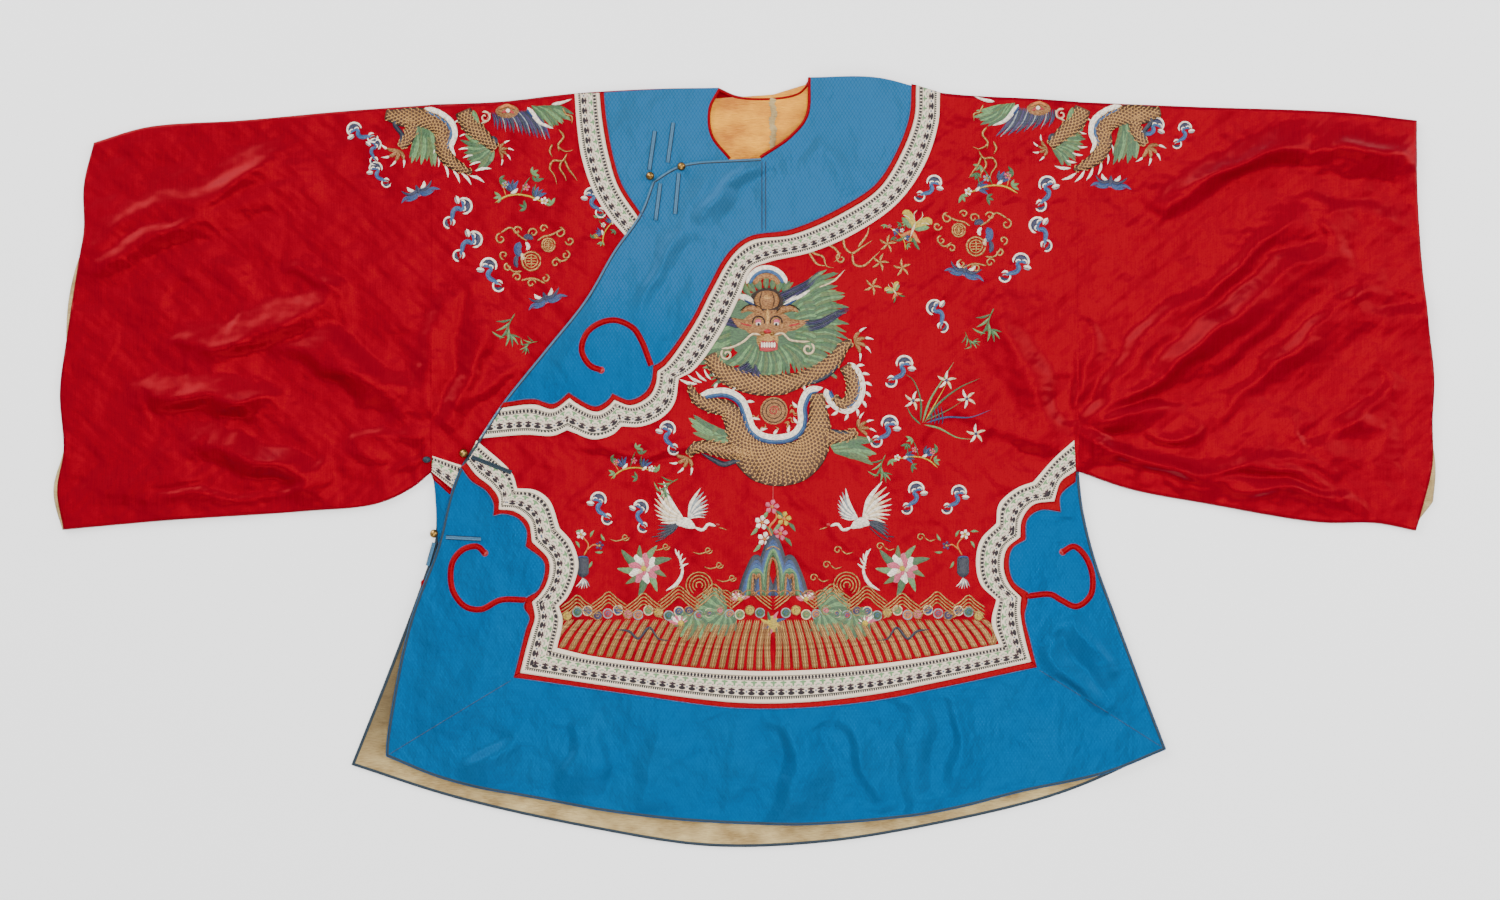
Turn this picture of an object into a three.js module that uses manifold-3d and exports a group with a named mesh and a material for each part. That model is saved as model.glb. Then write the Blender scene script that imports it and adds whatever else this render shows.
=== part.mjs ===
// Embroidered silk robe, laid flat with its front up. Millimetres, +Z up.
// The origin is the middle of its footprint on the surface that it lies on, +Y runs to the shoulders.
// Left and right are the left and right of someone who looks down at the front.
import * as THREE from "three";
import { mergeVertices } from "three/addons/utils/BufferGeometryUtils.js";
import Module from "manifold-3d";

const wasm = await Module();
wasm.setup();

// Driving dimensions
const span = 1500; // cuff to cuff
const length = 833; // shoulder to back hem
const cloth = 1.5; // satin and its lining, sewn together
const liningThickness = 1;
const trimThickness = 1; // borders, ribbons and bands
const cordThickness = 1.4; // button strips and scrolls
const gap = 0.3; // between pieces that touch
const bindingWidth = 3;
const bandWidth = 5;
const scrollWidth = 6.5;
const stripWidth = 5;
const buttonDiameter = 9;
const frontSeam = 16; // x of the seam down the middle of the front
const backSeam = 26; // x of the seam down the middle of the back
const leftArmhole = -345; // x where the left sleeve starts
const rightArmhole = 357;
const gridStep = 38; // distance between the points that carry the folds
const outlineStep = 30; // longest chord along an edge
const lobeStep = 14; // longest chord round a lobe or a scroll

// Heights of the layers
const liningLow = cloth + gap;
const frontLow = liningLow + liningThickness + gap;

// Largest folds: a ridge of this rise and width runs from one point to the other
const folds = [
  { x: -560, y: 127, toX: -452, toY: 165, rise: 6, width: 80 },
  { x: -646, y: 63, toX: -586, toY: 83, rise: 6, width: 70 },
  { x: -586, y: 83, toX: -535, toY: 48, rise: 5, width: 70 },
  { x: -586, y: 25, toX: -478, toY: -25, rise: 7, width: 70 },
  { x: -481, y: 150, toX: -383, toY: 63, rise: 6, width: 90 },
  { x: -300, y: 178, toX: -351, toY: 32, rise: 5, width: 80 },
  { x: -715, y: 225, toX: -488, toY: 308, rise: 5, width: 70 },
  { x: 397, y: 77, toX: 624, toY: 256, rise: 8, width: 84 },
  { x: 517, y: 90, toX: 657, toY: 175, rise: 6, width: 76 },
  { x: 657, y: 175, toX: 730, toY: 162, rise: 6, width: 70 },
  { x: 598, y: 29, toX: 686, toY: 12, rise: 5, width: 70 },
  { x: 445, y: 273, toX: 608, toY: 344, rise: 6, width: 76 },
  { x: 608, y: 344, toX: 700, toY: 315, rise: 6, width: 76 },
  { x: 365, y: 20, toX: 420, toY: 60, rise: 8, width: 70 },
  { x: 385, y: -3, toX: 576, toY: -30, rise: 5, width: 60 },
  { x: 337, y: 23, toX: 272, toY: 175, rise: 4, width: 100 },
  { x: 10, y: 323, toX: -62, toY: 256, rise: 4, width: 70 },
  { x: -264, y: -302, toX: -286, toY: -356, rise: 5, width: 80 },
  { x: -161, y: -302, toX: -172, toY: -367, rise: 4, width: 76 },
  { x: 55, y: -286, toX: 55, toY: -388, rise: 5, width: 90 },
  { x: 169, y: -264, toX: 180, toY: -372, rise: 5, width: 84 },
  { x: 337, y: -183, toX: 391, toY: -258, rise: 5, width: 70 },
];

// Edges, each a row for a point that a smooth line passes, and corner where the line turns sharply
const topLeft = [
  { x: -710, y: 346 }, { x: -652, y: 363 }, { x: -551, y: 370 }, { x: -440, y: 380 }, { x: -345, y: 387 },
];
const shoulderLeft = [
  { x: -345, y: 387 }, { x: -270, y: 390 }, { x: -189, y: 399 }, { x: -100, y: 404 }, { x: -33, y: 405 },
];
const shoulderRight = [
  { x: 67, y: 416 }, { x: 138, y: 416 }, { x: 207, y: 400 }, { x: 315, y: 393 }, { x: 357, y: 390 },
];
const topRight = [{ x: 357, y: 390 }, { x: 478, y: 385 }, { x: 641, y: 379 }, { x: 724, y: 370 }];
const cuffLeft = [
  { x: -743, y: -74 }, { x: -750, y: -31 }, { x: -743, y: 12 }, { x: -747, y: 76 }, { x: -740, y: 132 },
  { x: -730, y: 197 }, { x: -721, y: 251 }, { x: -721, y: 300 }, { x: -710, y: 346 },
];
const cuffRight = [
  { x: 724, y: 370 }, { x: 724, y: 312 }, { x: 728, y: 234 }, { x: 735, y: 162 }, { x: 743, y: 90 },
  { x: 741, y: 45 }, { x: 748, y: -17 }, { x: 749, y: -50 }, { x: 723, y: -75 },
];
const cuffRightFront = [
  { x: 745, y: 60 }, { x: 741, y: -4 }, { x: 732, y: -43 }, { x: 723, y: -76 }, { x: 760, y: -76 },
];
const underLeft = [
  { x: -345, y: -12 }, { x: -366, y: -29 }, { x: -404, y: -46 }, { x: -481, y: -54 }, { x: -631, y: -64 },
  { x: -743, y: -74 },
];
const underRight = [
  { x: 723, y: -75 }, { x: 680, y: -67 }, { x: 618, y: -66 }, { x: 497, y: -46 }, { x: 413, y: -30 },
  { x: 357, y: -11 },
];
const neckLeft = [{ x: -33, y: 405 }, { x: -44, y: 383 }, { x: -42, y: 353 }, { x: -22, y: 327 }];
const neckRight = [{ x: 13, y: 328 }, { x: 46, y: 351 }, { x: 64, y: 374 }, { x: 67, y: 416 }];
const neckBack = [{ x: -33, y: 405 }, { x: -10, y: 396 }, { x: 52, y: 400 }, { x: 67, y: 416 }];
const flapTop = [{ x: -104, y: 304 }, { x: -73, y: 321 }, { x: 13, y: 328 }];
const closure = [
  { x: -292, y: 25 }, { x: -266, y: 64 }, { x: -220, y: 121 }, { x: -177, y: 175 }, { x: -146, y: 228 },
  { x: -118, y: 268 }, { x: -104, y: 304 },
];
const sideRight = [
  { x: 357, y: -11 }, { x: 362, y: -53 }, { x: 375, y: -106 }, { x: 397, y: -167 }, { x: 424, y: -239 },
  { x: 452, y: -312 },
];
const hemFront = [
  { x: 452, y: -312 }, { x: 386, y: -338 }, { x: 296, y: -358 }, { x: 205, y: -380 }, { x: 81, y: -393 },
  { x: -43, y: -391 }, { x: -134, y: -382 }, { x: -227, y: -366 }, { x: -328, y: -345 }, { x: -393, y: -319 },
];
const slitFront = [
  { x: -393, y: -319 }, { x: -392, y: -301 }, { x: -376, y: -210 }, { x: -363, y: -161 }, { x: -337, y: -92 },
  { x: -323, y: -35 }, { x: -311, y: -5 }, { x: -292, y: 25 },
];
const sideBack = [
  { x: 357, y: -11 }, { x: 360, y: -53 }, { x: 373, y: -106 }, { x: 395, y: -167 }, { x: 421, y: -239 },
  { x: 446, y: -311 },
];
const hemBack = [
  { x: 446, y: -311 }, { x: 391, y: -339 }, { x: 326, y: -364 }, { x: 205, y: -393 }, { x: 81, y: -413 },
  { x: -43, y: -417 }, { x: -169, y: -398 }, { x: -318, y: -365 }, { x: -431, y: -329 },
];
const slitBack = [
  { x: -431, y: -329 }, { x: -417, y: -294 }, { x: -388, y: -221 }, { x: -353, y: -127 }, { x: -340, y: -84 },
  { x: -342, y: -20 }, { x: -345, y: -12 },
];
const underFlapEdge = [
  { x: -22, y: 327 }, { x: -48, y: 262 }, { x: -120, y: 150 }, { x: -200, y: 50 }, { x: -262, y: -50 },
  { x: -318, y: -140 }, { x: -350, y: -120 },
];

// Borders: where blue silk meets its red band, where the band meets the ribbon, and the ribbon's far side
const yokeLeftBlue = [
  { x: -157, y: 400 }, { x: -154, y: 370 }, { x: -147, y: 332 }, { x: -137, y: 300 }, { x: -120, y: 273 },
];
const yokeLeftField = [
  { x: -189, y: 399 }, { x: -186, y: 360 }, { x: -181, y: 328 }, { x: -169, y: 293 }, { x: -154, y: 268 },
  { x: -135, y: 247 },
];
const yokeRightBlue = [
  { x: 176, y: 409 }, { x: 173, y: 373 }, { x: 159, y: 335 }, { x: 137, y: 301 }, { x: 100, y: 276 },
  { x: 46, y: 252 }, { x: 0, y: 244 }, { x: -23, y: 226 }, { x: -46, y: 186 }, { x: -63, y: 153 },
  { x: -95, y: 109 }, { x: -104, y: 104, corner: true }, { x: -106, y: 87 }, { x: -113, y: 75 },
  { x: -129, y: 67 }, { x: -148, y: 74, corner: true }, { x: -152, y: 68 }, { x: -166, y: 60 },
  { x: -189, y: 71 }, { x: -195, y: 75, corner: true }, { x: -212, y: 63 }, { x: -233, y: 68 },
  { x: -266, y: 64 },
];
const yokeRightInner = [
  { x: 181, y: 408 }, { x: 179, y: 372 }, { x: 164, y: 332 }, { x: 141, y: 296 }, { x: 103, y: 270 },
  { x: 48, y: 246 }, { x: 2, y: 239 }, { x: -18, y: 223 }, { x: -41, y: 184 }, { x: -58, y: 151 },
  { x: -90, y: 105 }, { x: -99, y: 98, corner: true }, { x: -101, y: 84 }, { x: -108, y: 71 },
  { x: -128, y: 61 }, { x: -146, y: 67, corner: true }, { x: -151, y: 61 }, { x: -165, y: 54 },
  { x: -188, y: 64 }, { x: -194, y: 69, corner: true }, { x: -212, y: 57 }, { x: -233, y: 62 },
  { x: -270, y: 58 },
];
const yokeRightField = [
  { x: 207, y: 400 }, { x: 205, y: 366 }, { x: 190, y: 321 }, { x: 161, y: 280 }, { x: 116, y: 248 },
  { x: 68, y: 227 }, { x: 21, y: 216 }, { x: 3, y: 208 }, { x: -12, y: 175 }, { x: -31, y: 138 },
  { x: -60, y: 99 }, { x: -76, y: 90, corner: true }, { x: -81, y: 63 }, { x: -95, y: 47 },
  { x: -117, y: 38 }, { x: -138, y: 38, corner: true }, { x: -148, y: 29 }, { x: -169, y: 24 },
  { x: -189, y: 31 }, { x: -197, y: 34, corner: true }, { x: -212, y: 28 }, { x: -242, y: 29 },
  { x: -292, y: 25 },
];
const leftBlue = [
  { x: -312, y: -6 }, { x: -301, y: -21 }, { x: -285, y: -32 }, { x: -277, y: -45 },
  { x: -277, y: -59, corner: true }, { x: -266, y: -57 }, { x: -250, y: -62 }, { x: -241, y: -75 },
  { x: -242, y: -92, corner: true }, { x: -222, y: -110 }, { x: -228, y: -138 }, { x: -241, y: -147 },
  { x: -266, y: -145, corner: true }, { x: -263, y: -151, corner: true }, { x: -244, y: -158 },
  { x: -238, y: -169 }, { x: -242, y: -182 }, { x: -249, y: -210 }, { x: -255, y: -234 },
];
const leftInner = [
  { x: -306, y: -1 }, { x: -295, y: -15 }, { x: -279, y: -28 }, { x: -271, y: -40 },
  { x: -271, y: -52, corner: true }, { x: -254, y: -54 }, { x: -239, y: -66 }, { x: -235, y: -87, corner: true },
  { x: -217, y: -107 }, { x: -218, y: -128 }, { x: -226, y: -143 }, { x: -235, y: -152, corner: true },
  { x: -232, y: -169 }, { x: -236, y: -183 }, { x: -244, y: -212 }, { x: -248, y: -229 },
];
const leftField = [
  { x: -295, y: 23 }, { x: -257, y: -12 }, { x: -251, y: -29, corner: true }, { x: -231, y: -31 },
  { x: -216, y: -42 }, { x: -205, y: -72, corner: true }, { x: -192, y: -87 }, { x: -185, y: -107 },
  { x: -186, y: -121 }, { x: -196, y: -146 }, { x: -206, y: -157, corner: true }, { x: -202, y: -172 },
  { x: -208, y: -202 },
];
const rightBlue = [
  { x: 354, y: -22 }, { x: 338, y: -37 }, { x: 338, y: -55, corner: true }, { x: 316, y: -53 },
  { x: 302, y: -63 }, { x: 300, y: -85, corner: true }, { x: 286, y: -94 }, { x: 282, y: -109 },
  { x: 287, y: -130 }, { x: 305, y: -139 }, { x: 326, y: -138, corner: true },
  { x: 322, y: -147, corner: true }, { x: 302, y: -153 }, { x: 299, y: -167 }, { x: 306, y: -198 },
  { x: 312, y: -223 },
];
const rightInner = [
  { x: 354, y: -10 }, { x: 338, y: -22 }, { x: 331, y: -43, corner: true }, { x: 308, y: -47 },
  { x: 296, y: -63 }, { x: 294, y: -82, corner: true }, { x: 280, y: -94 }, { x: 276, y: -114 },
  { x: 282, y: -133 }, { x: 295, y: -147, corner: true }, { x: 294, y: -162 }, { x: 299, y: -191 },
  { x: 306, y: -217 },
];
const rightField = [
  { x: 352, y: 23 }, { x: 332, y: 5 }, { x: 308, y: -22, corner: true }, { x: 290, y: -29 },
  { x: 271, y: -46 }, { x: 268, y: -67, corner: true }, { x: 251, y: -85 }, { x: 246, y: -109 },
  { x: 251, y: -133 }, { x: 268, y: -150, corner: true }, { x: 263, y: -174 }, { x: 271, y: -198 },
];
const hemField = [
  { x: -208, y: -202 }, { x: -169, y: -211 }, { x: -43, y: -225 }, { x: 31, y: -227 }, { x: 106, y: -223 },
  { x: 181, y: -214 }, { x: 271, y: -198 },
];
const hemInner = [
  { x: -248, y: -229 }, { x: -169, y: -241 }, { x: -18, y: -261 }, { x: 56, y: -261 }, { x: 131, y: -253 },
  { x: 205, y: -239 }, { x: 306, y: -217 },
];
const hemBlue = [
  { x: -255, y: -234 }, { x: -118, y: -254 }, { x: -18, y: -267 }, { x: 56, y: -267 }, { x: 131, y: -260 },
  { x: 205, y: -246 }, { x: 312, y: -223 },
];

// Side strip of the front that lies underneath, seen beside the slit
const underRibbon = [{ x: -343, y: 6 }, { x: -300, y: -8 }, { x: -304, y: -44 }, { x: -344, y: -11 }];
const underBlue = [
  { x: -341, y: -22 }, { x: -308, y: -54 }, { x: -316, y: -110 }, { x: -333, y: -92 }, { x: -337, y: -84 },
];

// Scrolls end in a small round head
const flapScroll = [
  { x: -106, y: 106 }, { x: -117, y: 132 }, { x: -126, y: 145 }, { x: -145, y: 153 }, { x: -163, y: 149 },
  { x: -176, y: 138 }, { x: -181, y: 120 }, { x: -172, y: 104 }, { x: -160, y: 99 },
];
const leftScroll = [
  { x: -269, y: -148 }, { x: -290, y: -160 }, { x: -307, y: -157 }, { x: -320, y: -141 }, { x: -323, y: -123 },
  { x: -320, y: -107 }, { x: -309, y: -95 }, { x: -294, y: -92 }, { x: -286, y: -99 },
];
const rightScroll = [
  { x: 327, y: -142 }, { x: 338, y: -150 }, { x: 355, y: -157 }, { x: 370, y: -145 }, { x: 372, y: -123 },
  { x: 364, y: -102 }, { x: 352, y: -92 }, { x: 340, y: -98 },
];

// Button strips, and which layer each is sewn on
const strips = [
  { name: "strip_neck_left_outer", x: -102, y: 358, toX: -108, toY: 316, on: "yokeLeftCord" },
  { name: "strip_neck_left_inner", x: -82, y: 367, toX: -88, toY: 324, on: "yokeLeftCord" },
  { name: "strip_flap_outer", x: -96, y: 301, toX: -101, toY: 261, on: "outerCord" },
  { name: "strip_flap_inner", x: -76, y: 312, toX: -80, toY: 268, on: "outerCord" },
  { name: "strip_side", x: -300, y: 5, toX: -257, toY: -12, on: "outerCord" },
  { name: "strip_waist", x: -328, y: -82, toX: -290, toY: -84, on: "outerCord" },
  { name: "strip_slit", x: -341, y: -88, toX: -348, toY: -113, on: "yokeLeftTrim" },
];
const buttons = [
  { name: "button_neck", x: -73, y: 319, on: "outerTrim" },
  { name: "button_flap", x: -107, y: 309, on: "yokeLeftTrim" },
  { name: "button_side", x: -309, y: 9, on: "under" },
  { name: "button_waist", x: -341, y: -78, on: "under" },
];
// A loop's knot under the arm, and the stitched tack at the top of the slit
const knots = [
  { name: "knot_underarm", x: -349, y: 2, width: 9, depth: 7, height: 5, on: "under", colour: "binding" },
  { name: "tack_slit", x: -353, y: -132, width: 6, depth: 8, height: 3, on: "back", colour: "redBand" },
];

const paint = {
  redSatin: new THREE.MeshStandardMaterial({ color: "#c4061f", roughness: 0.42, metalness: 0 }),
  redBand: new THREE.MeshStandardMaterial({ color: "#a8001e", roughness: 0.45, metalness: 0 }),
  blueSilk: new THREE.MeshStandardMaterial({ color: "#2f7fae", roughness: 0.5, metalness: 0 }),
  ribbon: new THREE.MeshStandardMaterial({ color: "#e6dccf", roughness: 0.7, metalness: 0 }),
  lining: new THREE.MeshStandardMaterial({ color: "#ddc193", roughness: 0.8, metalness: 0 }),
  binding: new THREE.MeshStandardMaterial({ color: "#1f4a5c", roughness: 0.6, metalness: 0 }),
  brass: new THREE.MeshStandardMaterial({ color: "#8a6a3c", roughness: 0.4, metalness: 0.8 }),
};

// Plan outlines

function smooth(rows, step = outlineStep) {
  const points = [];
  let stretch = [];
  rows.forEach((row, index) => {
    stretch.push(new THREE.Vector3(row.x, row.y, 0));
    const last = index === rows.length - 1;
    if ((row.corner || last) && stretch.length > 1) {
      const curve = new THREE.CatmullRomCurve3(stretch, false, "centripetal");
      const chords = stretch.length === 2 ? 1 : Math.ceil(curve.getLength() / step);
      curve.getSpacedPoints(chords).forEach((p, i) => {
        if (i || !points.length) points.push(new THREE.Vector2(p.x, p.y));
      });
      stretch = [stretch.at(-1)];
    }
  });
  return points;
}

// A line moved sideways, to the left of its direction where the distance is positive
function moved(line, distance) {
  return line.map((point, i) => {
    const before = line[Math.max(i - 1, 0)];
    const after = line[Math.min(i + 1, line.length - 1)];
    const along = after.clone().sub(before).normalize();
    return new THREE.Vector2(point.x - along.y * distance, point.y + along.x * distance);
  });
}

function reversed(line) {
  return [...line].reverse();
}

function join(...lines) {
  const points = [];
  for (const point of lines.flat()) {
    if (!points.length || point.distanceTo(points.at(-1)) > gap) points.push(point);
  }
  if (points[0].distanceTo(points.at(-1)) <= gap) points.pop();
  return points;
}

function corner(x, y) {
  return [new THREE.Vector2(x, y)];
}

function circle(x, y, radius, sides = 16) {
  return Array.from({ length: sides }, (unused, i) => {
    const turn = (2 * Math.PI * i) / sides;
    return new THREE.Vector2(x + radius * Math.cos(turn), y + radius * Math.sin(turn));
  });
}

// A strip of even width along a line
function strip(line, width) {
  return join(moved(line, width / 2), reversed(moved(line, -width / 2)));
}

// A binding lies inside an edge, and its room, cut from its neighbours, is a gap wider
function bindingOf(edge) {
  return join(edge, reversed(moved(edge, -bindingWidth)));
}

function roomOf(edge) {
  return join(moved(edge, bindingWidth), reversed(moved(edge, -bindingWidth - gap)));
}

// Everything to the left of a seam that runs from one point to another, less half the gap
function leftOf(x, y, toX, toY) {
  const along = new THREE.Vector2(toX - x, toY - y).normalize();
  const side = new THREE.Vector2(-along.y, along.x);
  const at = (run, away) => new THREE.Vector2(x, y).addScaledVector(along, run).addScaledVector(side, away);
  return [at(-span, -gap / 2), at(span, -gap / 2), at(span, span), at(-span, span)];
}

// Solids

function solidOf(geometry) {
  const bare = geometry.clone();
  bare.deleteAttribute("normal");
  bare.deleteAttribute("uv");
  const merged = mergeVertices(bare, 1e-4);
  const mesh = { numProp: 3, vertProperties: merged.attributes.position.array, triVerts: merged.index.array };
  return new wasm.Manifold(new wasm.Mesh({ ...mesh, triVerts: Uint32Array.from(mesh.triVerts) }));
}

function prism(points, low = -5, high = 60) {
  const shape = new THREE.Shape(points);
  const geometry = new THREE.ExtrudeGeometry(shape, { depth: high - low, bevelEnabled: false });
  geometry.translate(0, 0, low);
  return solidOf(geometry);
}

function smoothstep(from, to, value) {
  return THREE.MathUtils.smoothstep(value, from, to);
}

// Height that the folds add: each is a half-cosine ridge that dies away at its ends
function foldHeight(x, y) {
  let height = 0;
  for (const fold of folds) {
    const dx = fold.toX - fold.x;
    const dy = fold.toY - fold.y;
    const along = ((x - fold.x) * dx + (y - fold.y) * dy) / (dx * dx + dy * dy);
    const nearest = THREE.MathUtils.clamp(along, 0, 1);
    const away = Math.hypot(x - fold.x - nearest * dx, y - fold.y - nearest * dy);
    const ridge = Math.cos(Math.min(away / fold.width, 0.5) * Math.PI) ** 2;
    height = Math.hypot(height, fold.rise * ridge);
  }
  return height;
}

// The outer front climbs over the front and the yoke that lie under its flap
function overlapHeight(x, y) {
  const past = (x + 104) * 0.83 - (y - 304) * 0.56; // distance to the right of the closure
  return (cloth + trimThickness + 2 * gap) * (1 - smoothstep(90, 230, past));
}

const ground = (x, y) => frontLow + foldHeight(x, y);
const outer = (x, y) => ground(x, y) + overlapHeight(x, y);
const raised = (surface, distance) => (x, y) => surface(x, y) + distance;

const columns = Math.ceil((span + 2 * gridStep) / gridStep);
const rows = Math.ceil((length + 2 * gridStep) / gridStep);
const gridX = (i) => (i - columns / 2) * gridStep;
const gridY = (j) => (j - rows / 2) * gridStep;

// Closed sheet from a flat or folded underside up to a folded surface, over the whole grid
function sheet(low, high) {
  const flat = typeof low === "number";
  const under = flat ? () => low : low;
  const positions = [];
  for (const surface of [under, high]) {
    for (let j = 0; j <= rows; j++) {
      for (let i = 0; i <= columns; i++) {
        positions.push(gridX(i), gridY(j), surface(gridX(i), gridY(j)));
      }
    }
  }
  const across = columns + 1;
  const upper = across * (rows + 1);
  const triangles = [];
  for (let j = 0; j < rows; j++) {
    for (let i = 0; i < columns; i++) {
      const a = j * across + i;
      const [b, c, d] = [a + 1, a + across + 1, a + across];
      if (!flat) triangles.push(a, c, b, a, d, c);
      triangles.push(a + upper, b + upper, c + upper, a + upper, c + upper, d + upper);
    }
  }
  const rim = [];
  for (let i = 0; i < columns; i++) rim.push(i);
  for (let j = 0; j < rows; j++) rim.push(j * across + columns);
  for (let i = columns; i > 0; i--) rim.push(rows * across + i);
  for (let j = rows; j > 0; j--) rim.push(j * across);
  const hub = positions.length / 3;
  if (flat) positions.push(0, 0, low);
  rim.forEach((a, k) => {
    const b = rim[(k + 1) % rim.length];
    triangles.push(a, b, b + upper, a, b + upper, a + upper);
    if (flat) triangles.push(hub, b, a);
  });
  return new wasm.Manifold(
    new wasm.Mesh({
      numProp: 3,
      vertProperties: Float32Array.from(positions),
      triVerts: Uint32Array.from(triangles),
    }),
  );
}

// A layer of this thickness on a surface
function layer(surface, thickness) {
  return { top: raised(surface, thickness), solid: sheet(surface, raised(surface, thickness)) };
}

const everything = [
  ...corner(-span, -span), ...corner(span, -span), ...corner(span, span), ...corner(-span, span),
];
const layers = {
  back: { top: () => cloth, solid: prism(everything, 0, cloth) },
  lining: { solid: prism(everything, liningLow, liningLow + liningThickness) },
};
layers.under = layer(ground, cloth);
layers.yokeLeftTrim = layer(raised(layers.under.top, gap), trimThickness);
layers.yokeLeftCord = layer(raised(layers.yokeLeftTrim.top, gap), cordThickness);
layers.outer = layer(outer, cloth);
layers.outerTrim = layer(raised(layers.outer.top, gap), trimThickness);
layers.outerCord = layer(raised(layers.outerTrim.top, gap), cordThickness);

const robe = new THREE.Group();

function add(name, solid, material) {
  const { vertProperties, triVerts } = solid.getMesh();
  const geometry = new THREE.BufferGeometry();
  geometry.setAttribute("position", new THREE.BufferAttribute(Float32Array.from(vertProperties), 3));
  geometry.setIndex(new THREE.BufferAttribute(Uint32Array.from(triVerts), 1));
  geometry.computeVertexNormals();
  const mesh = new THREE.Mesh(geometry, material);
  mesh.name = name;
  robe.add(mesh);
  return mesh;
}

// A flat piece: its outline cut from a layer, less anything that lies in the same layer
function piece(name, layerName, outline, material, ...cutters) {
  let solid = layers[layerName].solid.intersect(prism(outline));
  for (const cutter of cutters) solid = solid.subtract(prism(cutter));
  return add(name, solid, material);
}

// Sleeves: flat tubes, closed along the fold at the top and the seam below, open at cuff and armhole
function sleeve(name, outline, hollow, cuffCutter) {
  const wall = sheet(0, layers.under.top).intersect(prism(outline));
  const inside = sheet(cloth, ground).intersect(prism(hollow));
  const turnedBack = prism(cuffCutter, cloth);
  return add(name, wall.subtract(inside).subtract(turnedBack), paint.redSatin);
}

function sleeves() {
  const farLeft = -span / 2 - gridStep / 2;
  const cuff = smooth(cuffLeft);
  const reveal = moved(cuff, -bindingWidth);
  sleeve(
    "sleeve_left",
    join(smooth(underLeft), cuff, smooth(topLeft)),
    join(
      moved(smooth(underLeft), -cloth), corner(farLeft, -74 + cloth), corner(farLeft, 346 - cloth),
      moved(smooth(topLeft), -cloth), corner(leftArmhole + gridStep, 380), corner(leftArmhole + gridStep, 0),
    ),
    join(reveal, corner(-700, 420), corner(farLeft, 420), corner(farLeft, -110), corner(-740, -110)),
  );
  piece(
    "lining_cuff_left", "lining",
    join(moved(cuff.slice(1, -1), -gap), reversed(moved(cuff.slice(1, -1), -25))),
    paint.lining,
  );
  const farRight = span / 2 + gridStep / 2;
  sleeve(
    "sleeve_right",
    join(smooth(topRight), smooth(cuffRight), smooth(underRight)),
    join(
      moved(smooth(topRight), -cloth), corner(farRight, 370 - cloth), corner(farRight, -75 + cloth),
      moved(smooth(underRight), -cloth), corner(rightArmhole - gridStep, 0),
      corner(rightArmhole - gridStep, 380),
    ),
    join(smooth(cuffRightFront), corner(farRight, -76), corner(farRight, 60)),
  );
  const lower = smooth(cuffRight).filter((point) => point.y < 60 && point.y > -70);
  piece(
    "lining_cuff_right", "lining",
    join(moved(lower, -gap), reversed(moved(lower, -25))),
    paint.lining,
  );
}

// Back: two halves that meet at a seam down the middle, and the lining where it shows
function back() {
  const left = join(
    smooth(shoulderLeft), smooth(neckBack), smooth(shoulderRight), smooth(sideBack),
    smooth(hemBack), smooth(slitBack),
  );
  const beyondRight = [
    ...corner(backSeam, 460), ...corner(backSeam, -460), ...corner(500, -460), ...corner(500, 460),
  ];
  const beyondLeft = [
    ...corner(-500, 460), ...corner(-500, -460), ...corner(backSeam + gap, -460), ...corner(backSeam + gap, 460),
  ];
  const sleeveEnds = [
    ...corner(leftArmhole - 60, -12), ...corner(leftArmhole + gap, -12), ...corner(leftArmhole + gap, 460),
    ...corner(leftArmhole - 60, 460),
  ];
  piece("back_left", "back", left, paint.redSatin, beyondRight, sleeveEnds);
  const rightEnd = [
    ...corner(rightArmhole - gap, -11), ...corner(rightArmhole + 60, -11), ...corner(rightArmhole + 60, 460),
    ...corner(rightArmhole - gap, 460),
  ];
  piece("back_right", "back", left, paint.redSatin, beyondLeft, rightEnd);

  const underNeck = [...corner(80, 300), ...corner(-60, 300)];
  const neckLine = moved(smooth(neckBack, lobeStep), -bindingWidth - gap);
  const neckLining = join(corner(-60, 390), neckLine, corner(80, 395), underNeck);
  piece("lining_neck_left", "lining", neckLining, paint.lining, beyondRight);
  piece("lining_neck_right", "lining", neckLining, paint.lining, beyondLeft);

  const backHem = smooth(hemBack);
  const backSlit = smooth(slitBack).filter((point) => point.y < -130);
  const edge = join(backHem, backSlit);
  const inset = bindingWidth + gap;
  piece(
    "lining_hem", "lining",
    join(
      moved(edge, -inset).slice(1), corner(-300, -130), corner(-340, -270),
      reversed(moved(backHem, -62).filter((point) => point.x > -330)),
    ),
    paint.lining,
  );
  piece("binding_back", "lining", bindingOf(edge), paint.binding);
  piece("binding_neck_back", "lining", bindingOf(smooth(neckBack, lobeStep)), paint.redBand);
}

// Fronts: the outer one carries the flap, the under one shows left of the closure
function fronts() {
  const trimArmhole = (x, side) => [
    ...corner(x, 460), ...corner(x + side * 80, 460), ...corner(x + side * 80, -12), ...corner(x, -12),
  ];
  piece(
    "front_under", "under",
    join(
      smooth(shoulderLeft), smooth(neckLeft), smooth(underFlapEdge),
      smooth(slitBack).filter((point) => point.y > -115),
    ),
    paint.redSatin,
    trimArmhole(leftArmhole + gap, -1),
  );
  piece(
    "front_outer", "outer",
    join(
      smooth(shoulderRight), smooth(sideRight), smooth(hemFront), smooth(slitFront), smooth(closure),
      smooth(flapTop), smooth(neckRight),
    ),
    paint.redSatin,
    trimArmhole(rightArmhole - gap, 1),
  );
}

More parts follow.
